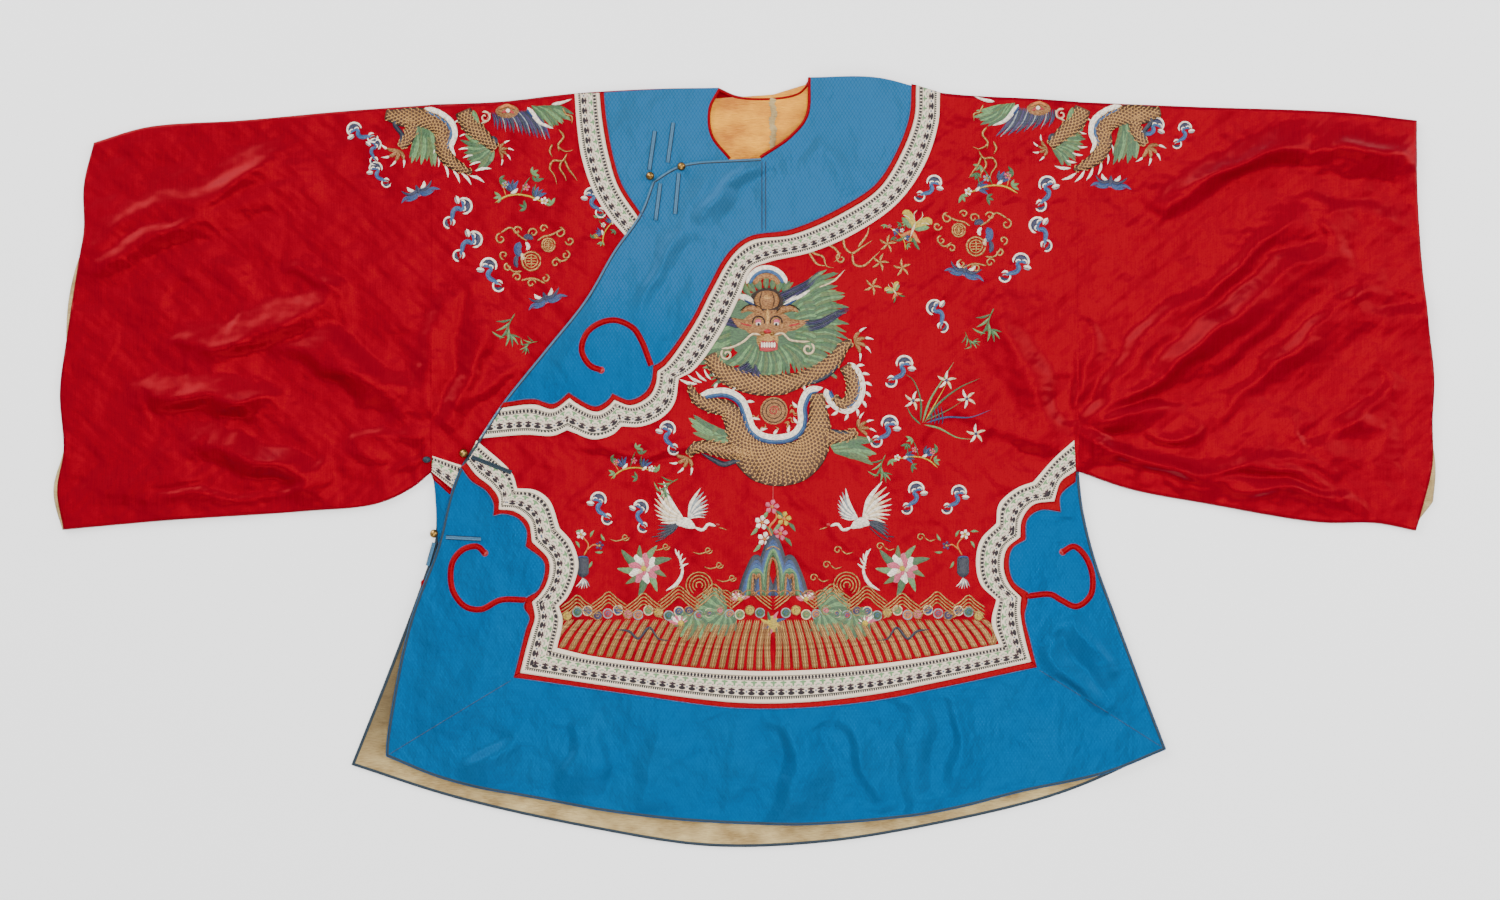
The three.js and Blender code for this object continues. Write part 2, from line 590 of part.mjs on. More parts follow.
// Yoke and flap: blue silk, a red band and the ribbon, parted at the seam down the middle of the front
function yoke() {
  const neck = smooth(neckLeft, lobeStep);
  const blueLeft = smooth(yokeLeftBlue, lobeStep);
  const fieldLeft = smooth(yokeLeftField, lobeStep);
  const shoulder = smooth(shoulderLeft);
  piece(
    "yoke_left", "yokeLeftTrim",
    join(
      shoulder.filter((point) => point.x > -150 && point.x < -40),
      moved(neck, -bindingWidth - gap), corner(-30, 318), corner(-72, 300), corner(-104, 262),
      corner(-118, 262), reversed(blueLeft),
    ),
    paint.blueSilk,
  );
  piece("binding_neck_left", "yokeLeftTrim", bindingOf(neck), paint.redBand);
  const bandLeft = moved(blueLeft, -gap);
  piece("band_yoke_left", "yokeLeftTrim", join(bandLeft, reversed(moved(blueLeft, -bandWidth))), paint.redBand);
  piece(
    "ribbon_yoke_left", "yokeLeftTrim",
    join(moved(blueLeft, -bandWidth - gap), corner(-124, 262), corner(-128, 246), reversed(fieldLeft)),
    paint.ribbon,
  );

  const blue = smooth(yokeRightBlue, lobeStep);
  const inner = smooth(yokeRightInner, lobeStep);
  const field = smooth(yokeRightField, lobeStep);
  const closing = smooth(closure).filter((point) => point.y > 66);
  const top = smooth(flapTop);
  const neckEdge = smooth(neckRight, lobeStep);
  const flapEdge = join(closing, top);
  const whole = join(
    blue, flapEdge, neckEdge, smooth(shoulderRight).filter((point) => point.x > 75 && point.x < 170),
  );
  const seamUp = leftOf(frontSeam, 0, frontSeam, length);
  const seamDown = leftOf(frontSeam, length, frontSeam, 0);
  piece("yoke_right", "outerTrim", whole, paint.blueSilk, seamUp, roomOf(neckEdge), roomOf(flapEdge));
  piece("border_flap", "outerTrim", whole, paint.blueSilk, seamDown, roomOf(neckEdge), roomOf(flapEdge));
  piece("band_yoke_right", "outerTrim", join(moved(blue, gap), reversed(moved(inner, -gap))), paint.redBand);
  piece("ribbon_yoke_right", "outerTrim", join(inner, reversed(field)), paint.ribbon);
  piece("binding_flap", "outerTrim", bindingOf(flapEdge), paint.binding);
  piece("binding_neck_right", "outerTrim", bindingOf(neckEdge), paint.redBand, roomOf(flapEdge));
}

// Side and hem borders, mitred at the lower corners
function borders() {
  const slit = smooth(slitFront);
  const hem = smooth(hemFront);
  const side = smooth(sideRight);
  const leftEdge = smooth(leftBlue, lobeStep);
  const leftBand = smooth(leftInner, lobeStep);
  const rightEdge = smooth(rightBlue, lobeStep);
  const rightBand = smooth(rightInner, lobeStep);
  const hemEdge = smooth(hemBlue);
  const hemBand = smooth(hemInner);
  const edge = join(side.filter((point) => point.y < -30), hem, slit.slice(0, -1));
  const room = roomOf(edge);
  piece("binding_front", "outerTrim", bindingOf(edge), paint.binding);

  const aboveLeft = leftOf(-393, -319, -208, -202);
  const belowLeft = leftOf(-208, -202, -393, -319);
  const aboveRight = leftOf(271, -198, 452, -312);
  const belowRight = leftOf(452, -312, 271, -198);
  const slitSide = slit.filter((point) => point.y < -8 && point.y > -318);
  const rightSide = side.filter((point) => point.y < -30 && point.y > -311);
  piece("border_left", "outerTrim", join(leftEdge, corner(-393, -319), slitSide), paint.blueSilk, room, belowLeft);
  piece(
    "border_hem", "outerTrim", join(hemEdge, hem), paint.blueSilk,
    room, aboveLeft, aboveRight,
  );
  piece(
    "border_right", "outerTrim", join(reversed(rightEdge), rightSide, corner(452, -312)), paint.blueSilk,
    room, belowRight,
  );
  const leftStrip = join(moved(leftEdge, gap), reversed(moved(leftBand, -gap)));
  const rightStrip = join(moved(rightEdge, -gap), reversed(moved(rightBand, gap)));
  const hemStrip = join(moved(hemEdge, gap), reversed(moved(hemBand, -gap)));
  piece("band_left", "outerTrim", leftStrip, paint.redBand, room, belowLeft);
  piece("band_right", "outerTrim", rightStrip, paint.redBand, room, belowRight);
  piece("band_hem", "outerTrim", hemStrip, paint.redBand, aboveLeft, aboveRight);

  const leftRibbon = join(leftBand, reversed(smooth(leftField, lobeStep)));
  const rightRibbon = join(rightBand, reversed(smooth(rightField, lobeStep)));
  const hemRibbon = join(hemBand, reversed(smooth(hemField)));
  piece("ribbon_left", "outerTrim", leftRibbon, paint.ribbon, room, belowLeft);
  piece("ribbon_right", "outerTrim", rightRibbon, paint.ribbon, belowRight);
  piece("ribbon_hem", "outerTrim", hemRibbon, paint.ribbon, aboveLeft, aboveRight);
}

// Side strip of the under front, left of the slit
function underStrip() {
  const ribbonEdge = smooth(underRibbon.map((row) => ({ ...row, corner: true })));
  const blue = smooth(underBlue.map((row) => ({ ...row, corner: true })));
  piece("ribbon_under", "yokeLeftTrim", ribbonEdge, paint.ribbon);
  piece(
    "band_under", "yokeLeftTrim",
    [...corner(-343, -14), ...corner(-306, -46), ...corner(-307, -51), ...corner(-341.5, -20)],
    paint.redBand,
  );
  piece("border_under", "yokeLeftTrim", blue, paint.blueSilk);
}

function scroll(name, rowsOfScroll) {
  const line = smooth(rowsOfScroll, lobeStep);
  const head = line.at(-1);
  const tail = strip(line, scrollWidth);
  const round = prism(circle(head.x, head.y, scrollWidth * 0.9));
  const body = prism(tail).add(round);
  add(name, layers.outerCord.solid.intersect(body), paint.redBand);
}

function fastenings() {
  for (const { name, x, y, toX, toY, on } of strips) {
    const line = [new THREE.Vector2(x, y), new THREE.Vector2(toX, toY)];
    piece(name, on, strip(line, stripWidth), paint.binding);
  }
  const radius = buttonDiameter / 2;
  for (const { name, x, y, on } of buttons) {
    const geometry = new THREE.SphereGeometry(radius, 10, 6).rotateX(Math.PI / 2);
    const mesh = add(name, solidOf(geometry), paint.brass);
    mesh.position.set(x, y, layers[on].top(x, y) + radius + 2 * gap);
  }
  for (const { name, x, y, width, depth, height, on, colour } of knots) {
    const geometry = new THREE.SphereGeometry(0.5, 10, 6).rotateX(Math.PI / 2).scale(width, depth, height);
    const mesh = add(name, solidOf(geometry), paint[colour]);
    mesh.position.set(x, y, layers[on].top(x, y) + height / 2 + gap);
  }
}

sleeves();
back();
fronts();
yoke();
borders();
underStrip();
scroll("scroll_flap", flapScroll);
scroll("scroll_left", leftScroll);
scroll("scroll_right", rightScroll);
fastenings();

const box = new THREE.Box3().setFromObject(robe);
const middle = box.getCenter(new THREE.Vector3());
robe.position.set(-middle.x, -middle.y, -box.min.z);

export default robe;
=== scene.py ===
# Embroidered silk robe, laid flat: the looks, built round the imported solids.
import math
import bmesh
import bpy
import numpy as np
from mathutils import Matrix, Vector


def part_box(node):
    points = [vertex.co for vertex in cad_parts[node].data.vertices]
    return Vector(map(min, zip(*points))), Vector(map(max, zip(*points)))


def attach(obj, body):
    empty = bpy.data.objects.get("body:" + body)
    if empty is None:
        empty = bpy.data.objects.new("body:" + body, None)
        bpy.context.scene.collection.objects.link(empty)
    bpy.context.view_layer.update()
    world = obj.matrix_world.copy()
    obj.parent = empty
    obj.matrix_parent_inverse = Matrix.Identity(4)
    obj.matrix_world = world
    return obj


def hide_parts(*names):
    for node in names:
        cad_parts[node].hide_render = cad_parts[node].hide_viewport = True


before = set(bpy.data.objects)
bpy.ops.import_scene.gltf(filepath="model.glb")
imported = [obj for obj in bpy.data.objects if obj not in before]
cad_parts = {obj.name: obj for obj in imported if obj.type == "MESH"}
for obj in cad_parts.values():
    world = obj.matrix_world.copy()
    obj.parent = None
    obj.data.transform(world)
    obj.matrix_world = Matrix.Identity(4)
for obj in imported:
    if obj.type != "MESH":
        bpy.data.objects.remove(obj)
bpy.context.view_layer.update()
print("frame loaded:", len(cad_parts), "nodes")

mm = 0.001
random = np.random.default_rng(7)

# The tables below are in the robe's own millimetres; the neck button's centre ties them to the frame
neckButton = dict(x=-73, y=319)
buttonLow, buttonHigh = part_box("button_neck")
shift = np.array([(buttonLow.x + buttonHigh.x) / 2 - neckButton["x"] * mm,
                  (buttonLow.y + buttonHigh.y) / 2 - neckButton["y"] * mm])

# Thickness of cloth, lining and trim, the air between them and the under front's lower face, in mm
stack = dict(cloth=1.5, gap=0.3, lining=1.0, trim=1.0, frontLow=3.1)
liningTop = stack["cloth"] + stack["gap"] + stack["lining"]
trimRise = stack["gap"] + stack["trim"]
bandRise = 1.75
ribbonWidth = 29

# The vertical lines where sleeves meet the body, and the seams down the middle of back and front
armholeLeft = -345
armholeRight = 357
backSeam = 26
frontSeam = 16


def linear(hexColor):  # sRGB hex to linear RGBA
    c = np.array([int(hexColor[i:i + 2], 16) for i in (1, 3, 5)]) / 255
    c = np.where(c <= 0.04045, c / 12.92, ((c + 0.055) / 1.055) ** 2.4)
    return (*c.tolist(), 1.0)


def addNode(tree, kind, settings=None, links=None):  # one node, its settings and what feeds it
    made = tree.nodes.new(kind)
    for name, value in (settings or {}).items():
        setattr(made, name, value)
    for socket, value in (links or {}).items():
        if isinstance(value, bpy.types.NodeSocket):
            tree.links.new(value, made.inputs[socket])
        else:
            made.inputs[socket].default_value = linear(value) if isinstance(value, str) else value
    return made


# Edges of the pieces, in mm, as (x, y); a third value of 1 marks a sharp turn
edges = dict(
    topLeft=[(-710, 346), (-652, 363), (-551, 370), (-440, 380), (-345, 387)],
    shoulderLeft=[(-345, 387), (-270, 390), (-189, 399), (-100, 404), (-33, 405)],
    shoulderRight=[(67, 416), (138, 416), (207, 400), (315, 393), (357, 390)],
    topRight=[(357, 390), (478, 385), (641, 379), (724, 370)],
    cuffLeft=[(-743, -74), (-750, -31), (-743, 12), (-747, 76), (-740, 132), (-730, 197), (-721, 251),
              (-721, 300), (-710, 346)],
    cuffRight=[(723, -75), (732, -43), (741, -4), (741, 45), (743, 90), (735, 162), (728, 234), (724, 312),
               (724, 370)],
    underLeft=[(-345, -12), (-366, -29), (-404, -46), (-481, -54), (-631, -64), (-743, -74)],
    underRight=[(723, -75), (680, -67), (618, -66), (497, -46), (413, -30), (357, -11)],
    neckLeft=[(-33, 405), (-44, 383), (-42, 353), (-22, 327)],
    neckRight=[(13, 328), (46, 351), (64, 374), (67, 416)],
    neckBack=[(-33, 405), (-10, 396), (52, 400), (67, 416)],
    flapTop=[(-104, 304), (-73, 321), (13, 328)],
    closure=[(-292, 25), (-266, 64), (-220, 121), (-177, 175), (-146, 228), (-118, 268), (-104, 304)],
    sideRight=[(357, -11), (362, -53), (375, -106), (397, -167), (424, -239), (452, -312)],
    hemFront=[(452, -312), (386, -338), (296, -358), (205, -380), (81, -393), (-43, -391), (-134, -382),
              (-227, -366), (-328, -345), (-393, -319)],
    slitFront=[(-393, -319), (-392, -301), (-376, -210), (-363, -161), (-337, -92), (-323, -35), (-311, -5),
               (-292, 25)],
    sideBack=[(357, -11), (360, -53), (373, -106), (395, -167), (421, -239), (446, -311)],
    hemBack=[(446, -311), (391, -339), (326, -364), (205, -393), (81, -413), (-43, -417), (-169, -398),
             (-318, -365), (-431, -329)],
    slitBack=[(-431, -329), (-417, -294), (-388, -221), (-353, -127), (-340, -84), (-342, -20), (-345, -12)],
    yokeLeftBlue=[(-157, 400), (-154, 370), (-147, 332), (-137, 300), (-112, 262)],
    yokeLeftField=[(-189, 399), (-186, 360), (-181, 328), (-169, 293), (-154, 268), (-130, 240)],
    yokeRightBlue=[(176, 409), (173, 373), (159, 335), (137, 301), (100, 276), (46, 252), (0, 244),
                   (-23, 226),
                   (-46, 186), (-63, 153), (-95, 109), (-104, 104, 1), (-106, 87), (-113, 75), (-129, 67),
                   (-148, 74, 1), (-152, 68), (-166, 60), (-189, 71), (-195, 75, 1), (-212, 63), (-233, 68),
                   (-266, 64)],
    yokeRightInner=[(181, 408), (179, 372), (164, 332), (141, 296), (103, 270), (48, 246), (2, 239),
                    (-18, 223),
                    (-41, 184), (-58, 151), (-90, 105), (-99, 98, 1), (-101, 84), (-108, 71), (-128, 61),
                    (-146, 67, 1), (-151, 61), (-165, 54), (-188, 64), (-194, 69, 1), (-212, 57), (-233, 62),
                    (-270, 58)],
    yokeRightField=[(207, 400), (205, 366), (190, 321), (161, 280), (116, 248), (68, 227), (21, 216),
                    (3, 208),
                    (-12, 175), (-31, 138), (-60, 99), (-76, 90, 1), (-81, 63), (-95, 47), (-117, 38),
                    (-138, 38, 1), (-148, 29), (-169, 24), (-189, 31), (-197, 34, 1), (-212, 28), (-242, 29),
                    (-292, 25)],
    leftBlue=[(-312, -6), (-301, -21), (-285, -32), (-277, -45), (-277, -59, 1), (-266, -57), (-250, -62),
              (-241, -75), (-242, -92, 1), (-222, -110), (-228, -138), (-241, -147, 1), (-244, -158),
              (-238, -169), (-242, -182), (-249, -210), (-255, -234)],
    leftInner=[(-306, -1), (-295, -15), (-279, -28), (-271, -40), (-271, -52, 1), (-254, -54), (-239, -66),
               (-235, -87, 1), (-217, -107), (-218, -128), (-226, -143), (-235, -152, 1), (-232, -169),
               (-236, -183), (-244, -212), (-248, -229)],
    leftField=[(-295, 23), (-257, -12), (-251, -29, 1), (-231, -31), (-216, -42), (-205, -72, 1), (-192, -87),
               (-185, -107), (-186, -121), (-196, -146), (-206, -157, 1), (-202, -172), (-208, -202)],
    rightBlue=[(354, -22), (338, -37), (338, -55, 1), (316, -53), (302, -63), (300, -85, 1), (286, -94),
               (282, -109), (287, -130), (303, -142, 1), (302, -153), (299, -167), (306, -198), (312, -223)],
    rightInner=[(354, -10), (338, -22), (331, -43, 1), (308, -47), (296, -63), (294, -82, 1), (280, -94),
                (276, -114), (282, -133), (295, -147, 1), (294, -162), (299, -191), (306, -217)],
    rightField=[(352, 23), (332, 5), (308, -22, 1), (290, -29), (271, -46), (268, -67, 1), (251, -85),
                (246, -109), (251, -133), (268, -150, 1), (263, -174), (271, -198)],
    hemField=[(-208, -202), (-169, -211), (-43, -225), (31, -227), (106, -223), (181, -214), (271, -198)],
    hemInner=[(-248, -229), (-169, -241), (-18, -261), (56, -261), (131, -253), (205, -239), (306, -217)],
    hemBlue=[(-255, -234), (-118, -254), (-18, -267), (56, -267), (131, -260), (205, -246), (312, -223)],
)


# Centripetal spline: between two rows the point is a weighted mean of the four nearest rows, weights from the
# square roots of the chords
def spline(rows):
    p = np.array([r[:2] for r in rows], float)
    if len(p) == 2:
        return p[:1] + np.linspace(0, 1, 24)[:, None] * (p[1:] - p[:1])
    p = np.vstack([2 * p[0] - p[1], p, 2 * p[-1] - p[-2]])
    knots = np.concatenate([[0], np.cumsum(np.sqrt(np.linalg.norm(np.diff(p, axis=0), axis=1)))])
    t = np.linspace(0, 1, 16, endpoint=False)[None, :, None]
    p0, p1, p2, p3 = (p[i:len(p) - 3 + i, None, :] for i in range(4))
    t0, t1, t2, t3 = (knots[i:len(p) - 3 + i, None, None] for i in range(4))
    t = t1 + t * (t2 - t1)
    a1 = ((t1 - t) * p0 + (t - t0) * p1) / (t1 - t0)
    a2 = ((t2 - t) * p1 + (t - t1) * p2) / (t2 - t1)
    a3 = ((t3 - t) * p2 + (t - t2) * p3) / (t3 - t2)
    b1 = ((t2 - t) * a1 + (t - t0) * a2) / (t2 - t0)
    b2 = ((t3 - t) * a2 + (t - t1) * a3) / (t3 - t1)
    c = ((t2 - t) * b1 + (t - t1) * b2) / (t2 - t1)
    return np.vstack([c.reshape(-1, 2), p[-2:-1]])


def lengthOf(line):
    return float(np.linalg.norm(np.diff(line, axis=0), axis=1).sum())


def runOf(line):  # distance from the line's start to each of its points
    return np.concatenate([[0], np.cumsum(np.linalg.norm(np.diff(line, axis=0), axis=1))])


def evenly(line, count):  # the same line with count points at equal distances
    run = runOf(line)
    at = np.linspace(0, run[-1], count)
    return np.stack([np.interp(at, run, line[:, k]) for k in (0, 1)], axis=1)


def directions(line):  # unit vectors along a line and to its left, at each of its points
    along = np.gradient(line, axis=0)
    along /= np.maximum(np.linalg.norm(along, axis=1, keepdims=True), 1e-9)
    return along, np.stack([-along[:, 1], along[:, 0]], axis=1)


def moved(line, distance):  # the line carried sideways, to the left of its direction
    return line + distance * directions(line)[1]


def stretches(rows):  # one smooth line for each stretch between sharp turns
    cuts = [0] + [i for i, r in enumerate(rows) if len(r) > 2 and 0 < i < len(rows) - 1] + [len(rows) - 1]
    return [spline(rows[a:b + 1]) for a, b in zip(cuts[:-1], cuts[1:])]


def edge(*names, count=None, step=3.0):  # named edges joined end to end, evenly spaced
    line = np.vstack([s for n in names for s in stretches(edges[n])])
    keep = np.concatenate([[True], np.linalg.norm(np.diff(line, axis=0), axis=1) > 1e-6])
    line = line[keep]
    return evenly(line, count or max(2, int(lengthOf(line) / step) + 1))


def pairedEdges(nameA, nameB, step):  # two edges with the same turns, matched stretch by stretch
    a, b = stretches(edges[nameA]), stretches(edges[nameB])
    lines = [[], []]
    for lineA, lineB in zip(a, b):
        count = max(3, int(max(lengthOf(lineA), lengthOf(lineB)) / step) + 1)
        for side, line in zip(lines, (lineA, lineB)):
            side.append(evenly(line, count)[1 if side else 0:])
    return np.vstack(lines[0]), np.vstack(lines[1])


# Folds that the solids have too: ridges from one point to the other, rise and width in mm
ridges = np.array([
    (-560, 127, -452, 165, 6, 80), (-646, 63, -586, 83, 6, 70), (-586, 83, -535, 48, 5, 70),
    (-586, 25, -478, -25, 7, 70), (-481, 150, -383, 63, 6, 90), (-300, 178, -351, 32, 5, 80),
    (-715, 225, -488, 308, 5, 70), (397, 77, 624, 256, 8, 84), (517, 90, 657, 175, 6, 76),
    (657, 175, 730, 162, 6, 70), (598, 29, 686, 12, 5, 70), (445, 273, 608, 344, 6, 76),
    (608, 344, 700, 315, 6, 76), (365, 20, 420, 60, 8, 70), (385, -3, 576, -30, 5, 60),
    (337, 23, 272, 175, 4, 100), (10, 323, -62, 256, 4, 70), (-264, -302, -286, -356, 5, 80),
    (-161, -302, -172, -367, 4, 76), (55, -286, 55, -388, 5, 90), (169, -264, 180, -372, 5, 84),
    (337, -183, 391, -258, 5, 70),
], float)

# Finer creases: start, bend, end, depth (negative) or rise, and half width, in mm
creases = [
    (-720, 223, -606, 273, -488, 308, -2.6, 7), (-710, 206, -606, 262, -497, 338, 2.4, 8),
    (-716, 243, -610, 292, -520, 318, 2.2, 9), (-700, 190, -600, 236, -500, 262, -2.0, 8),
    (-621, 185, -590, 169, -554, 159, -3.4, 9), (-539, 254, -522, 191, -455, 185, -3.0, 9),
    (-560, 127, -508, 151, -452, 165, 2.4, 9), (-572, 108, -508, 128, -440, 148, -2.8, 9),
    (-694, 121, -652, 110, -611, 108, -3.6, 13), (-646, 63, -586, 92, -535, 48, 3.0, 8),
    (-650, 47, -590, 72, -548, 36, -3.2, 8), (-586, 25, -528, 4, -478, -25, 3.2, 7),
    (-600, 8, -540, -12, -486, -38, -3.0, 8), (-566, 40, -520, 22, -470, 0, -2.6, 8),
    (-481, 150, -432, 99, -383, 63, 2.4, 12), (-460, 166, -410, 112, -362, 84, -2.6, 12),
    (-470, 118, -430, 70, -392, 40, -2.2, 11), (-300, 178, -319, 105, -351, 32, -3.4, 8),
    (-282, 168, -300, 98, -330, 34, 2.4, 9), (-330, 190, -345, 110, -362, 46, 2.0, 10),
    (-250, 110, -280, 84, -322, 60, 2.2, 8), (-240, 96, -272, 66, -310, 40, -2.4, 7),
    (-440, 20, -400, 0, -352, -6, 2.4, 7), (-446, 2, -402, -20, -356, -16, -2.4, 7),
    (-420, 52, -384, 24, -350, 8, -2.4, 8), (-735, 20, -680, 26, -636, 12, -1.8, 12),
    (-728, -20, -650, -30, -590, -26, 1.6, 10), (-690, 330, -600, 344, -480, 356, -1.6, 9),
    (397, 77, 510, 175, 624, 256, -4.2, 9), (386, 92, 500, 196, 604, 272, 3.2, 9),
    (380, 108, 470, 214, 560, 300, -2.6, 10), (420, 66, 540, 150, 650, 232, 3.0, 10),
    (376, 60, 440, 132, 520, 168, 2.4, 8), (371, 40, 460, 84, 560, 96, -2.8, 8),
    (517, 90, 586, 143, 657, 175, -3.8, 9), (500, 104, 560, 154, 630, 190, 2.8, 9),
    (657, 175, 697, 178, 735, 162, -3.2, 8), (650, 190, 694, 194, 732, 178, 2.6, 8),
    (598, 29, 641, 38, 686, 12, -3.4, 9), (590, 44, 640, 54, 690, 30, 2.4, 9),
    (560, 70, 620, 84, 690, 78, -2.4, 10), (445, 273, 521, 316, 608, 344, 3.0, 8),
    (440, 256, 520, 298, 612, 326, -3.0, 8), (608, 344, 662, 340, 706, 315, 2.8, 8),
    (602, 308, 662, 294, 719, 273, -3.0, 8), (596, 292, 660, 276, 720, 252, 2.2, 9),
    (364, 6, 467, -4, 575, -30, 2.8, 6), (362, -4, 467, -16, 575, -42, -2.6, 5),
    (575, -30, 619, -42, 667, -49, 2.2, 6), (372, 18, 440, 22, 500, 8, -3.0, 7),
    (366, 28, 410, 60, 470, 66, 3.0, 7), (362, 34, 384, 80, 400, 130, -3.0, 8),
    (358, 44, 366, 100, 372, 160, 2.6, 8), (352, 30, 330, 90, 300, 150, -2.4, 10),
    (346, 30, 300, 80, 262, 190, 2.2, 12), (352, 16, 280, 34, 200, 60, 1.6, 12),
    (340, 6, 260, 12, 190, 24, -1.6, 11), (400, 330, 500, 350, 600, 366, -1.8, 8),
    (-180, 0, -90, 4, 10, -10, -1.6, 8), (-200, 16, -100, 14, 0, 4, 1.4, 8),
    (10, 323, -32, 300, -62, 256, 3.0, 7), (24, 322, -10, 288, -36, 250, -2.6, 7),
    (-4, 322, -56, 292, -84, 244, -2.4, 6), (-30, 318, -70, 280, -96, 214, 2.2, 6),
    (-104, 262, -112, 220, -140, 170, -2.2, 6), (-90, 250, -100, 200, -124, 150, 2.0, 7),
    (-60, 240, -84, 190, -96, 140, -1.8, 8), (60, 340, 96, 320, 120, 290, 1.6, 9),
    (90, 400, 110, 360, 150, 330, -1.6, 10), (-150, 160, -170, 130, -214, 96, 1.6, 8),
    (-254, -294, -292, -307, -313, -319, -4.0, 8), (-244, -304, -286, -320, -306, -336, 2.8, 7),
    (-204, -284, -210, -324, -219, -360, -4.2, 9), (-188, -282, -194, -322, -204, -364, 2.8, 8),
    (-150, -272, -146, -320, -160, -372, -2.4, 9), (-100, -268, -108, -320, -112, -376, 2.0, 10),
    (-40, -276, -36, -330, -44, -384, -2.0, 10), (31, -287, 27, -334, 22, -385, -3.8, 8),
    (46, -284, 44, -334, 40, -388, 2.6, 8), (76, -279, 109, -324, 128, -376, -3.8, 8),
    (92, -276, 122, -318, 146, -374, 2.6, 8), (160, -262, 160, -320, 170, -374, -2.4, 9),
    (212, -254, 205, -302, 203, -360, -3.6, 8), (228, -250, 222, -302, 220, -362, 2.6, 8),
    (270, -240, 262, -296, 276, -352, -2.2, 9), (337, -183, 359, -221, 391, -258, -3.8, 7),
    (326, -196, 348, -234, 382, -272, 2.8, 7), (350, -170, 376, -200, 398, -236, 2.6, 7),
    (330, -226, 356, -256, 396, -290, -2.4, 8), (352, -60, 350, -90, 366, -126, -1.6, 8),
    (-300, -190, -320, -230, -352, -270, -2.0, 12), (-280, -210, -300, -260, -330, -300, 1.8, 12),
    (-350, -200, -358, -240, -372, -280, -1.6, 8), (-24, 300, -6, 296, 14, 298, -1.0, 5),
    (354, 28, 440, 90, 563, 185, 3.4, 6), (357, 26, 452, 84, 560, 164, -3.0, 5),
    (431, 102, 510, 200, 625, 256, -3.0, 12), (440, 84, 530, 176, 650, 240, 2.8, 8),
    (496, 50, 540, 120, 637, 185, -3.0, 12), (510, 40, 570, 110, 683, 207, 3.0, 7),
    (637, 185, 683, 207, 726, 167, -3.0, 7), (597, 28, 640, 50, 683, 102, -3.0, 11),
    (610, 14, 660, 40, 700, 92, 2.8, 7), (450, -15, 530, 6, 631, -27, 3.2, 5),
    (471, -24, 560, -33, 668, -39, 3.0, 4), (480, -10, 560, -14, 640, -40, -3.0, 4),
    (520, -8, 590, 12, 640, -12, 2.6, 5), (354, 213, 376, 182, 388, 133, -2.6, 10),
    (453, 296, 540, 318, 625, 348, 3.0, 6), (460, 286, 560, 306, 640, 334, -3.0, 9),
    (625, 348, 668, 339, 726, 317, 3.0, 6), (382, 308, 410, 292, 447, 262, -2.8, 9),
    (607, 308, 659, 296, 705, 277, -3.0, 6), (354, 28, 385, 13, 422, -12, 3.0, 5),
    (356, 34, 400, 30, 440, 8, -3.0, 4), (357, 40, 348, 65, 342, 96, -3.0, 5),
    (431, 31, 459, 22, 496, 34, 3.0, 5), (-420, 70, -470, 96, -540, 96, -3.0, 8),
    (-410, 84, -460, 112, -520, 122, 2.8, 6), (-500, 60, -560, 70, -610, 50, 2.8, 6),
    (-640, 120, -590, 132, -520, 128, 2.8, 6), (-520, 214, -480, 206, -430, 176, 2.8, 6),
    (-350, 14, -380, 30, -430, 30, 3.0, 5), (-350, 2, -400, 2, -460, -14, -3.0, 4),
    (-470, -32, -560, -36, -660, -40, 2.2, 4), (-480, -24, -570, -28, -650, -34, -2.4, 4),
]


def nearSegment(x, y, x0, y0, x1, y1):  # share along a segment and distance from it
    dx, dy = x1 - x0, y1 - y0
    along = np.clip(((x - x0) * dx + (y - y0) * dy) / (dx * dx + dy * dy), 0, 1)
    return along, np.hypot(x - x0 - along * dx, y - y0 - along * dy)


